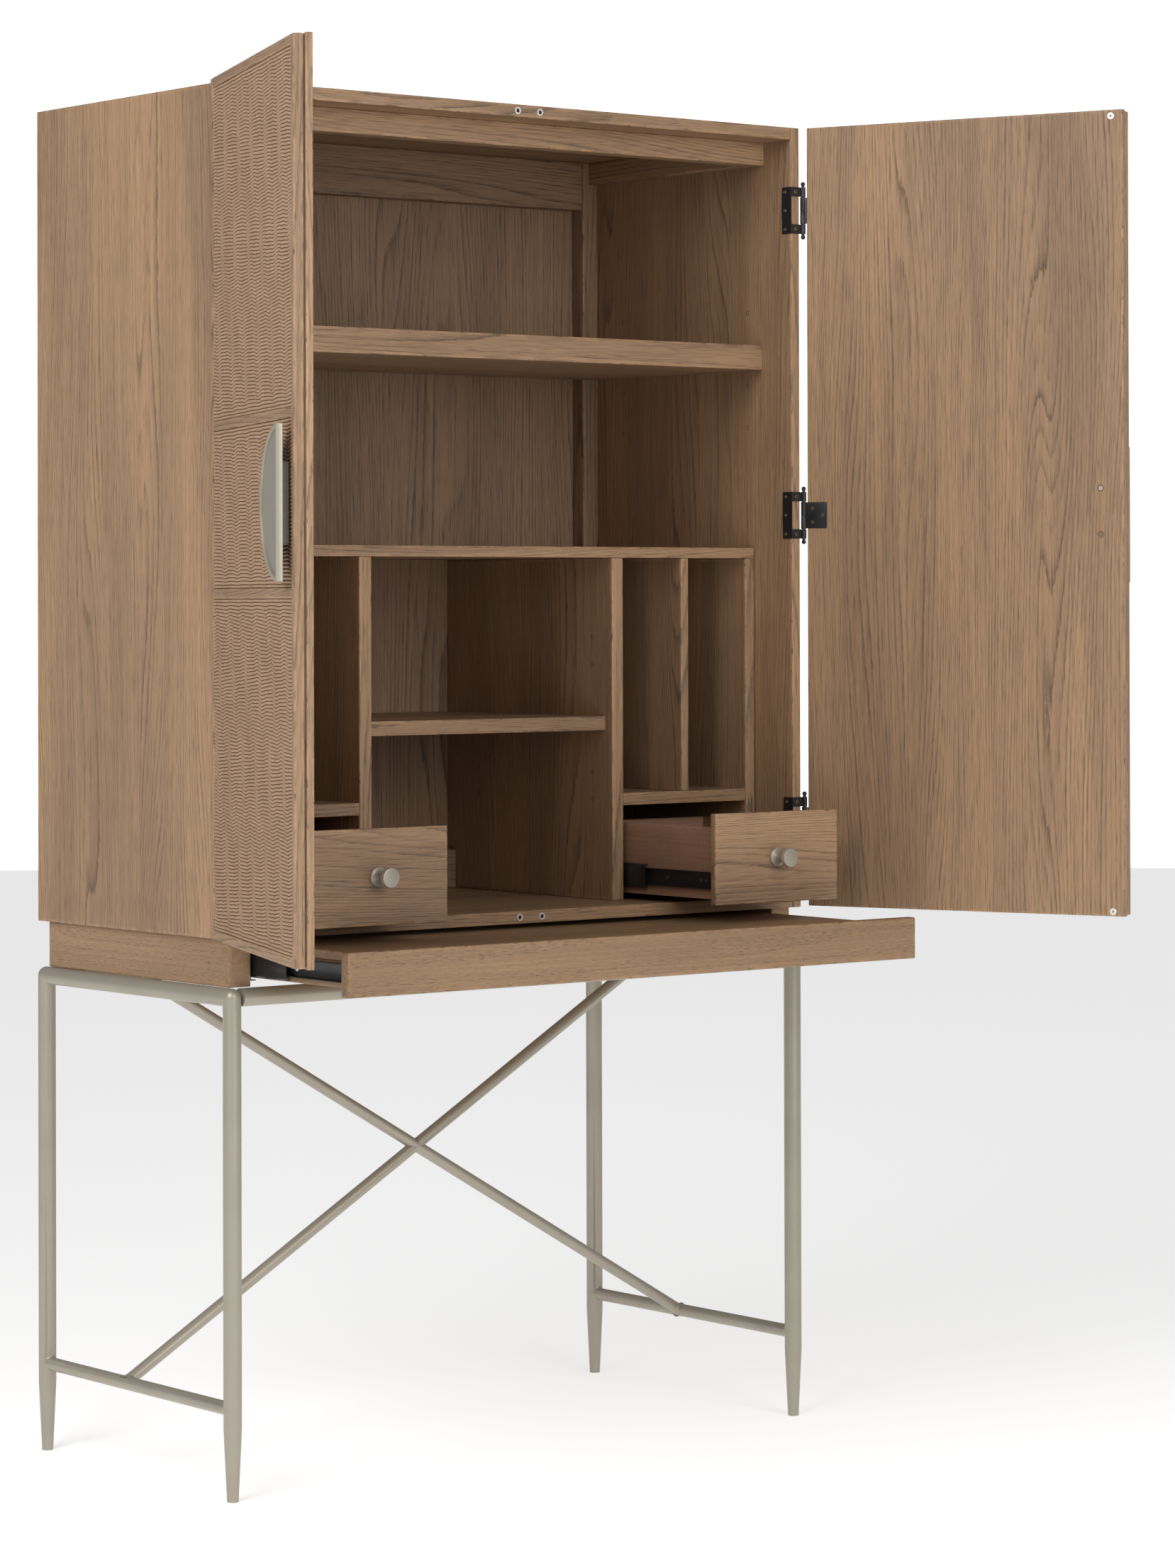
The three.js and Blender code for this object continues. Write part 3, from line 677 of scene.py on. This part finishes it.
def doorTurn(side):
    joint = next(j for j in frame["joints"] if j["name"] == f"door_{'left' if side < 0 else 'right'}_hinge")
    pin = Vector(joint["pos_m"])
    pin.z = 0
    return Matrix.Translation(pin) @ Matrix.Rotation(math.radians(side * doorShape["openAngle"]), 4, "Z")


def closedBox(node, side):
    back = doorTurn(side).inverted()
    points = [back @ v.co for v in frame["nodes"][node].data.vertices]
    return (Vector([min(p[i] for p in points) for i in range(3)]),
            Vector([max(p[i] for p in points) for i in range(3)]))


def caneField(name, low, high, side, body):
    # a net of woven ribs that fills one recess; y falls towards the outside
    columns = max(2, round((high[0] - low[0]) / caneWeave["columnGap"]))
    ribs = round((high[2] - low[2]) / caneWeave["pitch"])
    rows = ribs * caneWeave["rowsPerRib"]
    bm = bmesh.new()
    weave = bm.verts.layers.float_vector.new("weave")
    height = high[2] - low[2]
    grid = []
    for row in range(rows + 1):
        phase = row / caneWeave["rowsPerRib"]
        level = low[2] + height * row / rows
        calm = min(1.0, (level - low[2]) / 0.03, (high[2] - level) / 0.03)
        line = []
        for column in range(columns + 1):
            x = low[0] + (high[0] - low[0]) * column / columns
            drift = math.sin(level * 9.0) * 1.7
            sway = math.sin(2 * math.pi * x / caneWeave["waveLength"] + drift)
            sway += 0.55 * math.sin(2 * math.pi * x / 0.041 + level * 23.0)
            z = level + calm * caneWeave["wave"] * sway
            rise = caneWeave["rise"] * abs(math.sin(math.pi * phase)) ** 0.7
            slack = 0.0004 * math.sin(x * 31 + level * 17)
            vert = bm.verts.new((x, low[1] - caneWeave["lift"] - rise - slack, z))
            vert[weave] = Vector((x, phase, 0))
            line.append(vert)
        grid.append(line)
    for lower, upper in zip(grid, grid[1:]):
        for i in range(columns):
            bm.faces.new((lower[i], lower[i + 1], upper[i + 1], upper[i]))
    rim = [e for e in bm.edges if len(e.link_faces) == 1]
    skirt = bmesh.ops.extrude_edge_only(bm, edges=rim)["geom"]
    for vert in (item for item in skirt if isinstance(item, bmesh.types.BMVert)):
        vert.co.y = low[1] + 0.0003
    bmesh.ops.holes_fill(bm, edges=[e for e in bm.edges if len(e.link_faces) == 1], sides=0)
    return finishPiece(name, bm, cane, body, (), doorTurn(side), 80)


def buildDoor(word, side):
    body, turn, shape = f"door_{word}", doorTurn(side), doorShape
    slabLow, slabHigh = closedBox(f"door_slab_{word}", side)
    board(f"door_slab_{word}_board", (slabLow.x, -shape["slab"], slabLow.z), (slabHigh.x, 0, slabHigh.z), 2,
          body=body, replaces=(f"door_slab_{word}",), turn=turn, ease=shape["chamfer"])
    inset = shape["grooveInset"]
    # a dark core board showing in the groove round the door's edge: painted shade in that groove
    board(f"door_core_{word}", (slabLow.x + inset, slabLow.y - 0.0004, slabLow.z + inset),
          (slabHigh.x - inset, -shape["slab"] + 0.0002, slabHigh.z - inset), 2, "grooveShadeWood", body, turn=turn,
          ease=0.0003)

    low, high = closedBox(f"door_face_{word}", side)
    border, half = shape["border"], shape["rail"] / 2
    settings = {"body": body, "turn": turn}
    board(f"door_ground_{word}", (low.x + border, low.y + shape["caneDepth"], low.z + border),
          (high.x - border, high.y, high.z - border), 2, "oakDark", ease=0.0004, **settings)
    for end, x0, x1 in (("a", low.x, low.x + border), ("b", high.x - border, high.x)):
        board(f"door_stile_{word}_{end}", (x0, low.y, low.z), (x1, high.y, high.z), 2,
              replaces=(f"door_face_{word}",) if end == "a" else (), ease=0.0016, **settings)
    heights = {
        "bottom": low.z + half, "lower": shape["handleHeight"] - shape["railOffset"],
        "upper": shape["handleHeight"] + shape["railOffset"], "top": high.z - half,
    }
    seam = 0.0001
    for place, height in heights.items():
        board(f"door_rail_{word}_{place}", (low.x + border + seam, low.y + 0.0003, height - half),
              (high.x - border - seam, low.y + 0.010, height + half), 0, ease=0.0009, **settings)
    levels = list(heights.values())
    for number, (start, stop) in enumerate(zip(levels, levels[1:])):
        caneField(f"cane_{word}_{number + 1}", (low.x + border, low.y + shape["caneDepth"], start + half),
                  (high.x - border, high.y, stop - half), side, body)


handleShape = {"rim": 0.006, "dish": 0.003, "ease": 0.0007, "arcSteps": 64, "blockEase": 0.002,
               "edge": 0.508, "radius": 0.0985, "standOff": 0.012, "blockFrom": 0.471, "blockTo": 0.493,
               "blockHeight": 0.104}


def halfMoon(side, inset):
    # (x, z) points of a half disc whose straight edge and arc are both set in by the same amount
    shape = handleShape
    radius = shape["radius"] - inset
    widest = math.acos(inset / radius)
    turns = [widest * (2 * i / shape["arcSteps"] - 1) for i in range(shape["arcSteps"] + 1)]
    return [(-side * (shape["edge"] - radius * math.cos(a)), doorShape["handleHeight"] + radius * math.sin(a))
            for a in turns]


def buildHandle(word, side):
    shape, turn = handleShape, doorTurn(side)
    low, high = closedBox(f"door_handle_{word}", side)
    backY, frontY, ease = high.y + 0.0003 - shape["standOff"], low.y, shape["ease"]
    rim, bend = shape["rim"], 0.3 * ease
    steps = [(ease, backY), (bend, backY - bend), (0, backY - ease), (0, frontY + ease),
             (bend, frontY + bend), (ease, frontY), (rim - ease, frontY),
             (rim - bend, frontY + bend), (rim, frontY + ease), (rim, frontY + shape["dish"])]
    bm = bmesh.new()
    rings = [[bm.verts.new((x, y, z)) for x, z in halfMoon(side, inset)] for inset, y in steps]
    # the sunk face takes the second, darker metal: painted shade in the recess
    loftRings(bm, rings).material_index = 1
    finishPiece(f"handle_{word}", bm, [metals["champagne"], metals["champagneShade"]], f"door_{word}",
                (f"door_handle_{word}",), turn, 30)
    ends = sorted((-side * shape["blockFrom"], -side * shape["blockTo"]))
    middle = doorShape["handleHeight"]
    # the standoff block behind the handle is in the darker metal: painted shade
    block = boxShell((ends[0], backY - 0.001, middle - shape["blockHeight"] / 2),
                     (ends[1], high.y, middle + shape["blockHeight"] / 2))
    bmesh.ops.bevel(block, geom=block.edges[:], offset=shape["blockEase"], segments=3, profile=0.5,
                    affect="EDGES")
    finishPiece(f"handle_block_{word}", block, metals["champagneShade"], f"door_{word}",
                turn=turn)


for word, side in sides.items():
    buildDoor(word, side)
    buildHandle(word, side)
print("doors made")


# screws, magnets and strikes
screwShape = {
    "sides": 28, "top": 0.82, "crossArm": 0.62, "crossWidth": 0.2, "crossDepth": 0.35, "crossTaper": 0.7,
}


def screwHead(place, direction, radius, dome=0.3):
    # a round head with a cross recess, its underside at the given place
    shape = screwShape
    height, arm, half = radius * dome, radius * shape["crossArm"], radius * shape["crossWidth"]
    bm = bmesh.new()
    turns = [2 * math.pi * i / shape["sides"] for i in range(shape["sides"])]
    base = [bm.verts.new((radius * math.cos(a), radius * math.sin(a), 0)) for a in turns]
    upper = radius * shape["top"]
    rim = [bm.verts.new((upper * math.cos(a), upper * math.sin(a), height)) for a in turns]
    bm.faces.new(base)
    for i in range(len(turns)):
        j = (i + 1) % len(turns)
        bm.faces.new((base[i], base[j], rim[j], rim[i]))
    plus = []
    for quarter in range(4):
        c, s = (1, 0, -1, 0)[quarter], (0, 1, 0, -1)[quarter]
        for u, v in ((half, half), (arm, half), (arm, -half)):
            plus.append((u * c - v * s, u * s + v * c))
    order = sorted(plus, key=lambda p: math.atan2(p[1], p[0]))
    top = [bm.verts.new((x, y, height)) for x, y in order]
    taper, depth = shape["crossTaper"], radius * shape["crossDepth"]
    floor = [bm.verts.new((x * taper, y * taper, height - depth)) for x, y in order]
    for i in range(len(order)):
        j = (i + 1) % len(order)
        bm.faces.new((top[i], top[j], floor[j], floor[i]))
    bm.faces.new(floor)
    inner = [bm.edges.get((top[i], top[(i + 1) % len(top)])) for i in range(len(top))]
    outer = [bm.edges.get((rim[i], rim[(i + 1) % len(rim)])) for i in range(len(rim))]
    bmesh.ops.triangle_fill(bm, use_beauty=True, edges=inner + outer)
    bmesh.ops.recalc_face_normals(bm, faces=bm.faces)
    bmesh.ops.transform(bm, matrix=aimed(place, direction), verts=bm.verts)
    return bm


def ringCup(place, direction, radius, height=0.0008, hole=0.55):
    # a low ring with a sunk middle
    profile = [(0, -0.0006), (radius, -0.0006), (radius, height * 0.6), (radius * 0.92, height),
               (radius * (hole + 0.1), height), (radius * hole, height * 0.4), (radius * hole * 0.8, -0.0004),
               (0, -0.0004)]
    bm = lathe(profile, 32)
    bmesh.ops.transform(bm, matrix=aimed(place, direction), verts=bm.verts)
    return bm


def screwSet(name, places, direction, radius, material, body, turn=None, dome=0.3):
    heads = [screwHead(place, direction, radius, dome) for place in places]
    return finishPiece(name, joinedShells(heads), metals[material], body, (), turn, 25)


# flat near-black discs in place of drilled holes: painted shade
def holeShadeDiscs(name, places, direction, radius, body="cabinet", turn=None):
    cups = [ringCup(place, direction, radius, 0.0002, 0.8) for place in places]
    finishPiece(name, joinedShells(cups), metals["darkHole"], body, (), turn)


catches = {
    "offset": 0.020, "top": 1.924, "bottom": 0.772, "radius": 0.0052, "strikeFromPin": 0.4985,
    "handleScrewFromPin": 0.481, "handleScrews": (1.385, 1.318), "handleScrew": 0.003, "handleHole": 0.0027,
}


def buildCatches():
    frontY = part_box("top_panel")[0].y
    for place in ("top", "bottom"):
        rings, pins = [], []
        for side in sides.values():
            spot = (side * catches["offset"], frontY, catches[place])
            rings.append(ringCup(spot, (0, -1, 0), catches["radius"]))
            pins.append(screwHead((spot[0], frontY - 0.0002, spot[2]), (0, -1, 0), catches["radius"] * 0.5))
        finishPiece(f"magnets_{place}", joinedShells(rings), metals["brightSteel"], "cabinet")
        finishPiece(f"magnet_screws_{place}", joinedShells(pins), metals["darkHole"], "cabinet")
    for word, side in sides.items():
        turn, body, outward = doorTurn(side), f"door_{word}", (0, 1, 0)
        strikes = [ringCup((-side * catches["strikeFromPin"], 0, catches[place]), outward, catches["radius"],
                           0.0009, 0.3) for place in ("top", "bottom")]
        finishPiece(f"strikes_{word}", joinedShells(strikes), metals["brightSteel"], body,
                    turn=turn)
        # the upper socket holds its screw, the lower one is drawn empty with a dark disc of painted shade;
        # both socket rings are darker wood as painted shade
        screwX = -side * catches["handleScrewFromPin"]
        upper, lower = catches["handleScrews"]
        sockets = [ringCup((screwX, 0, z), outward, catches["radius"], 0.0004, 0.72) for z in (upper, lower)]
        finishPiece(f"handle_sockets_{word}", joinedShells(sockets), woods["grooveShadeWood"], body,
                    turn=turn)
        screwSet(f"handle_screw_{word}", [(screwX, -0.0004, upper)], outward, catches["handleScrew"],
                 "brightSteel", body, turn=turn)
        holeShadeDiscs(f"handle_hole_{word}", [(screwX, 0, lower)], outward, catches["handleHole"], body, turn)


# hinges
hingeShape = {
    "knuckle": 0.0042, "knuckleHalf": 0.0204, "leafThick": 0.0012, "leafReach": 0.039, "leafHalf": 0.0195,
    "edgeLeafX": (0.0059, 0.0047), "edgeLeafDepth": 0.0225, "platesOut": 0.0015,
    "screw": 0.0027, "flush": 0.09, "screwSpread": 0.028, "leafScrewDepth": 0.0125, "tabScrewOut": 0.0085,
    "doorScrews": ((0.0145, 0.0105), (0.0145, -0.0105), (0.031, 0.0)),
}


def plate(low, high, ease=0.0004, corner=0.0):
    bm = boxShell(low, high)
    if corner:
        spans = [high[i] - low[i] for i in range(3)]
        thin = spans.index(min(spans))
        posts = [e for e in bm.edges if abs((e.verts[0].co - e.verts[1].co)[thin]) > 1e-5]
        bmesh.ops.bevel(bm, geom=posts, offset=corner, segments=4, profile=0.5, affect="EDGES")
    sharp = [e for e in bm.edges if len(e.link_faces) == 2 and e.calc_face_angle(0) > math.radians(60)]
    bmesh.ops.bevel(bm, geom=sharp, offset=ease, segments=2, profile=0.5, affect="EDGES")
    return bm


def knuckleBarrel(height):
    r, h = hingeShape["knuckle"], hingeShape["knuckleHalf"]
    profile = [(0, -h), (r - 0.0004, -h), (r, -h + 0.0004), (r, -0.0004), (r - 0.0003, 0), (r, 0.0004),
               (r, h - 0.0004), (r - 0.0004, h), (0, h)]
    bm = lathe(profile, 32)
    bmesh.ops.translate(bm, vec=(0, 0, height), verts=bm.verts)
    return bm


def blackPiece(name, bm, body, replaces=(), turn=None, smoothBelow=50):
    finishPiece(name, bm, metals["blackSteel"], body, replaces, turn, smoothBelow)


def buildHinge(word, side, place):
    shape, node = hingeShape, f"hinge_{word}_{place}"
    low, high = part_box(node)
    height = (low.z + high.z) / 2
    smoothCopy(node, f"{node}_leaf", metals["blackSteel"], "cabinet")
    # screws through the fixed leaf and through its tabs
    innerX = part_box(f"side_panel_{word}")[0 if side > 0 else 1].x
    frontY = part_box("top_panel")[0].y
    spread, out = shape["screwSpread"], shape["platesOut"]
    leafSpots = [(innerX - side * out, frontY + shape["leafScrewDepth"], height + dz)
                 for dz in (-spread, 0, spread)]
    screwSet(f"{node}_leaf_screws", leafSpots, (-side, 0, 0), shape["screw"], "brass", "cabinet")
    tabSpots = [(innerX + side * shape["tabScrewOut"], frontY - out, height + dz) for dz in (-spread, spread)]
    screwSet(f"{node}_tab_screws", tabSpots, (0, -1, 0), shape["screw"], "brass", "cabinet",
             dome=shape["flush"])
    # the door's own leaf and knuckle, in the closed door's place
    turn, body = doorTurn(side), f"door_{word}"
    half, thick = shape["leafHalf"], shape["leafThick"]
    shells = [knuckleBarrel(height)]
    if place == "middle":
        xs = sorted((-side * 0.003, -side * shape["leafReach"]))
        shells.append(plate((xs[0], 0.0001, height - half), (xs[1], thick, height + half), 0.0003, 0.002))
        spots = [(-side * reach, thick, height + dz) for reach, dz in shape["doorScrews"]]
        screwSet(f"door_leaf_screws_{word}", spots, (0, 1, 0), shape["screw"], "brass", body, turn=turn,
                 dome=shape["flush"])
    else:
        xs = sorted(-side * x for x in shape["edgeLeafX"])
        depth = shape["edgeLeafDepth"]
        shells.append(plate((xs[0], -depth, height - half), (xs[1], 0, height + half), 0.0003, 0.001))
    blackPiece(f"door_leaf_{word}_{place}", joinedShells(shells), body, turn=turn, smoothBelow=40)


def buildHinges():
    for word, side in sides.items():
        for place in ("top", "middle", "bottom"):
            buildHinge(word, side, place)


buildCatches()
buildHinges()
print("hinges and catches made")


# slides
slideShape = {
    "sheet": 0.0012, "fold": 0.0022, "outer": 0.0454, "inner": 0.025, "length": 0.25, "innerLip": 0.0062,
    "outerLip": 0.009, "outerSetBack": 0.012, "innerSetBack": 0.001, "boxGap": 0.0003, "wallGap": 0.0033,
    "trayScrew": 0.0034, "trayScrews": (0.03, 0.16, 0.3),
    "drawerScrew": 0.0028, "drawerScrews": (0.022, 0.034, 0.11, 0.21),
}
# each stop: where it starts and ends behind the front, then its low and high edge as a share of the height
trimShape = {
    "height": 0.033, "lift": 0.0009,
    "stops": ((0.000, 0.0035, -0.42, 0.42), (0.012, 0.016, -0.3, 0.3), (0.026, 0.029, -0.36, 0.36)),
}


def channelShell(webX, lipX, height, centre, y0, y1):
    # folded sheet, its folds cut at a slant
    half, sheet, bend = height / 2, slideShape["sheet"], slideShape["fold"]
    inward = math.copysign(sheet, lipX - webX)
    fold = math.copysign(bend, lipX - webX)
    points = [
        (webX + fold, half), (lipX, half), (lipX, half - sheet), (webX + fold, half - sheet),
        (webX + inward, half - bend), (webX + inward, -half + bend), (webX + fold, -half + sheet),
        (lipX, -half + sheet), (lipX, -half), (webX + fold, -half), (webX, -half + bend), (webX, half - bend),
    ]
    return outlineShell([(x, z + centre) for x, z in points], 1, y0, y1)


def channelFromNode(node, body, webSide):
    low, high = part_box(node)
    webX, lipX = (low.x, high.x) if webSide < 0 else (high.x, low.x)
    bm = channelShell(webX, lipX, high.z - low.z, (low.z + high.z) / 2, low.y, high.y)
    blackPiece(f"{node}_channel", bm, body, (node,))
    return low, high


def slideTrim(name, x, facing, centre, frontY, body):
    # the front of a runner: three raised bars for its end stop and a flat latch finger
    x += facing * (slideShape["sheet"] + 0.0001)
    lift, height = facing * trimShape["lift"], trimShape["height"]
    xs = sorted((x - facing * 0.0006, x + lift))
    shells = [plate((xs[0], frontY + near, centre + height * bottom),
                    (xs[1], frontY + far, centre + height * top), 0.0003)
              for near, far, bottom, top in trimShape["stops"]]
    xs = sorted((x, x + lift * 1.2))
    shells.append(plate((xs[0], frontY + 0.002, centre - 0.003),
                        (xs[1], frontY + 0.03, centre + 0.002), 0.0004))
    blackPiece(name, joinedShells(shells), body, smoothBelow=35)


def buildTraySlide(word, side):
    shape = slideShape
    channelFromNode(f"tray_slide_outer_{word}", "cabinet", side)
    low, high = channelFromNode(f"tray_slide_middle_{word}", "tray_runners", side)
    centre = (low.z + high.z) / 2
    slideTrim(f"tray_runner_stop_{word}", high.x if side > 0 else low.x, -side, centre, low.y, "tray_runners")
    low, high = channelFromNode(f"tray_slide_inner_{word}", "tray", -side)
    webX = low.x + shape["sheet"] if side < 0 else high.x - shape["sheet"]
    spots = [(webX, low.y + dy, centre) for dy in shape["trayScrews"]]
    screwSet(f"tray_slide_screws_{word}", spots, (side, 0, 0), shape["trayScrew"], "brightSteel", "tray")


def buildDrawerSlide(word, place, wallSide):
    # the runner is between an inner member on the drawer and an outer one on the wall
    shape, body = slideShape, f"drawer_{word}"
    node = f"drawer_runner_{word}_{place}"
    low, high = channelFromNode(node, f"{body}_runners", wallSide)
    centre = (low.z + high.z) / 2
    runnerX = low.x if wallSide < 0 else high.x
    slideTrim(f"{node}_stop", runnerX, -wallSide, centre, low.y, f"{body}_runners")
    boxLow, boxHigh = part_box(f"drawer_box_{word}")
    webX = (boxLow.x if wallSide < 0 else boxHigh.x) + wallSide * shape["boxGap"]
    inner = channelShell(webX, webX + wallSide * shape["innerLip"], shape["inner"], centre,
                         boxLow.y + shape["innerSetBack"], boxLow.y + shape["length"])
    blackPiece(f"drawer_slide_inner_{word}_{place}", inner, body)
    spots = [(webX + wallSide * shape["sheet"], boxLow.y + dy, centre) for dy in shape["drawerScrews"]]
    screwSet(f"drawer_slide_screws_{word}_{place}", spots, (wallSide, 0, 0), shape["drawerScrew"], "brass",
             body, dome=hingeShape["flush"])
    wallX = runnerX + wallSide * shape["wallGap"]
    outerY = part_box("organiser_top")[0].y + shape["outerSetBack"]
    outer = channelShell(wallX, wallX - wallSide * shape["outerLip"], shape["outer"], centre,
                         outerY, outerY + shape["length"])
    blackPiece(f"drawer_slide_outer_{word}_{place}", outer, "cabinet")


def buildSlides():
    for word, side in sides.items():
        buildTraySlide(word, side)
        buildDrawerSlide(word, "inner", -side)
        buildDrawerSlide(word, "outer", side)


buildSlides()
print("slides made")


# small wooden and metal parts inside
insideParts = {
    "cleatWidth": 0.018, "cleatHeight": 0.034, "cleatGap": 0.0005, "cleatDrop": 0.0004, "pinHole": 0.003,
    "shelfHoles": ((1.485, 1.549, 1.66), (-0.150, 0.150)),
    "partitionHoles": ((0.93, 0.97, 1.13, 1.17), (-0.12, 0.16)),
}


def buildInside():
    low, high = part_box("top_panel")
    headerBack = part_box("header_rail")[1].y
    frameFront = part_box("back_frame")[0].y
    middleY = (low.y + high.y) / 2
    gap, cleatTop = insideParts["cleatGap"], low.z - insideParts["cleatDrop"]
    for word, side in sides.items():
        inner = side * high.x
        xs = sorted((inner, inner - side * insideParts["cleatWidth"]))
        board(f"top_cleat_{word}", (xs[0], headerBack + gap, cleatTop - insideParts["cleatHeight"]),
              (xs[1], frameFront - gap, cleatTop), 1)
        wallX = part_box(f"side_panel_{word}")[0 if side > 0 else 1].x
        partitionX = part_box(f"partition_{word}")[0 if side > 0 else 1].x
        for place, faceX in (("shelf", wallX), ("partition", partitionX)):
            # the shelf-pin holes are painted shade discs, not drilled
            heights, offsets = insideParts[f"{place}Holes"]
            spots = [(faceX, middleY + dy, z) for z in heights for dy in offsets]
            holeShadeDiscs(f"{place}_pin_holes_{word}", spots, (-side, 0, 0), insideParts["pinHole"])


buildInside()
print("inside parts made")


# room, light and camera
studio = {
    "camera": (-3.8566, -4.9956, 1.2242), "yaw": 38.47, "pitch": 0.39, "roll": 0.14,
    "lens": 101.18, "shift": -0.1363, "floor": (0.86, 0.86, 0.86), "floorGlow": 0.52,
    "world": 0.31, "backdrop": 1.2, "floorRadius": 14, "lightsAimHeight": 1.1,
    "keyPower": 98, "keySize": 2.6, "keyAzimuth": 70, "keyRise": 30, "keyDistance": 4.4,
    "fillPower": 66, "fillSize": 2.8, "fillAzimuth": 2, "fillRise": 16, "fillDistance": 4.6,
}


def softLight(name):
    azimuth, rise = math.radians(studio[f"{name}Azimuth"]), math.radians(studio[f"{name}Rise"])
    level = math.cos(rise)
    back = Vector((-math.sin(azimuth) * level, -math.cos(azimuth) * level, math.sin(rise)))
    data = bpy.data.lights.new(name, "AREA")
    data.shape, data.size, data.energy = "DISK", studio[f"{name}Size"], studio[f"{name}Power"]
    light = bpy.data.objects.new(name, data)
    light.location = Vector((0, 0, studio["lightsAimHeight"])) + back * studio[f"{name}Distance"]
    light.rotation_euler = (-back).to_track_quat("-Z", "Y").to_euler()
    bpy.context.scene.collection.objects.link(light)


def buildStudio():
    softLight("key")
    softLight("fill")
    world = bpy.data.worlds.new("studioAir")
    world.use_nodes = True
    tree = world.node_tree
    background = tree.nodes["Background"]
    sight = addNode(tree, "ShaderNodeLightPath").outputs["Is Camera Ray"]
    tree.links.new(calc(tree, "MULTIPLY_ADD", sight, studio["backdrop"] - studio["world"], studio["world"]),
                   background.inputs["Strength"])
    background.inputs["Color"].default_value = (1, 1, 1, 1)
    bpy.context.scene.world = world

    bm = bmesh.new()
    bmesh.ops.create_circle(bm, cap_ends=True, radius=studio["floorRadius"], segments=96)
    mesh = bpy.data.meshes.new("floor")
    bm.to_mesh(mesh)
    bm.free()
    floor = bpy.data.objects.new("floor", mesh)
    material = newMaterial("paleFloor", {
        "Base Color": (*studio["floor"], 1), "Roughness": 0.9, "Specular IOR Level": 0.1,
        "Emission Color": (1, 1, 1, 1), "Emission Strength": studio["floorGlow"],
    })[0]
    mesh.materials.append(material)
    bpy.context.scene.collection.objects.link(floor)

    data = bpy.data.cameras.new("camera")
    data.sensor_width, data.lens, data.shift_y = 36, studio["lens"], studio["shift"]
    data.clip_end = 60
    camera = bpy.data.objects.new("camera", data)
    camera.location = studio["camera"]
    angles = (90 + studio["pitch"], studio["roll"], -studio["yaw"])
    camera.rotation_euler = [math.radians(angle) for angle in angles]
    bpy.context.scene.collection.objects.link(camera)
    bpy.context.scene.camera = camera
    bpy.context.scene.view_settings.view_transform = "Standard"


buildStudio()
print("studio made")
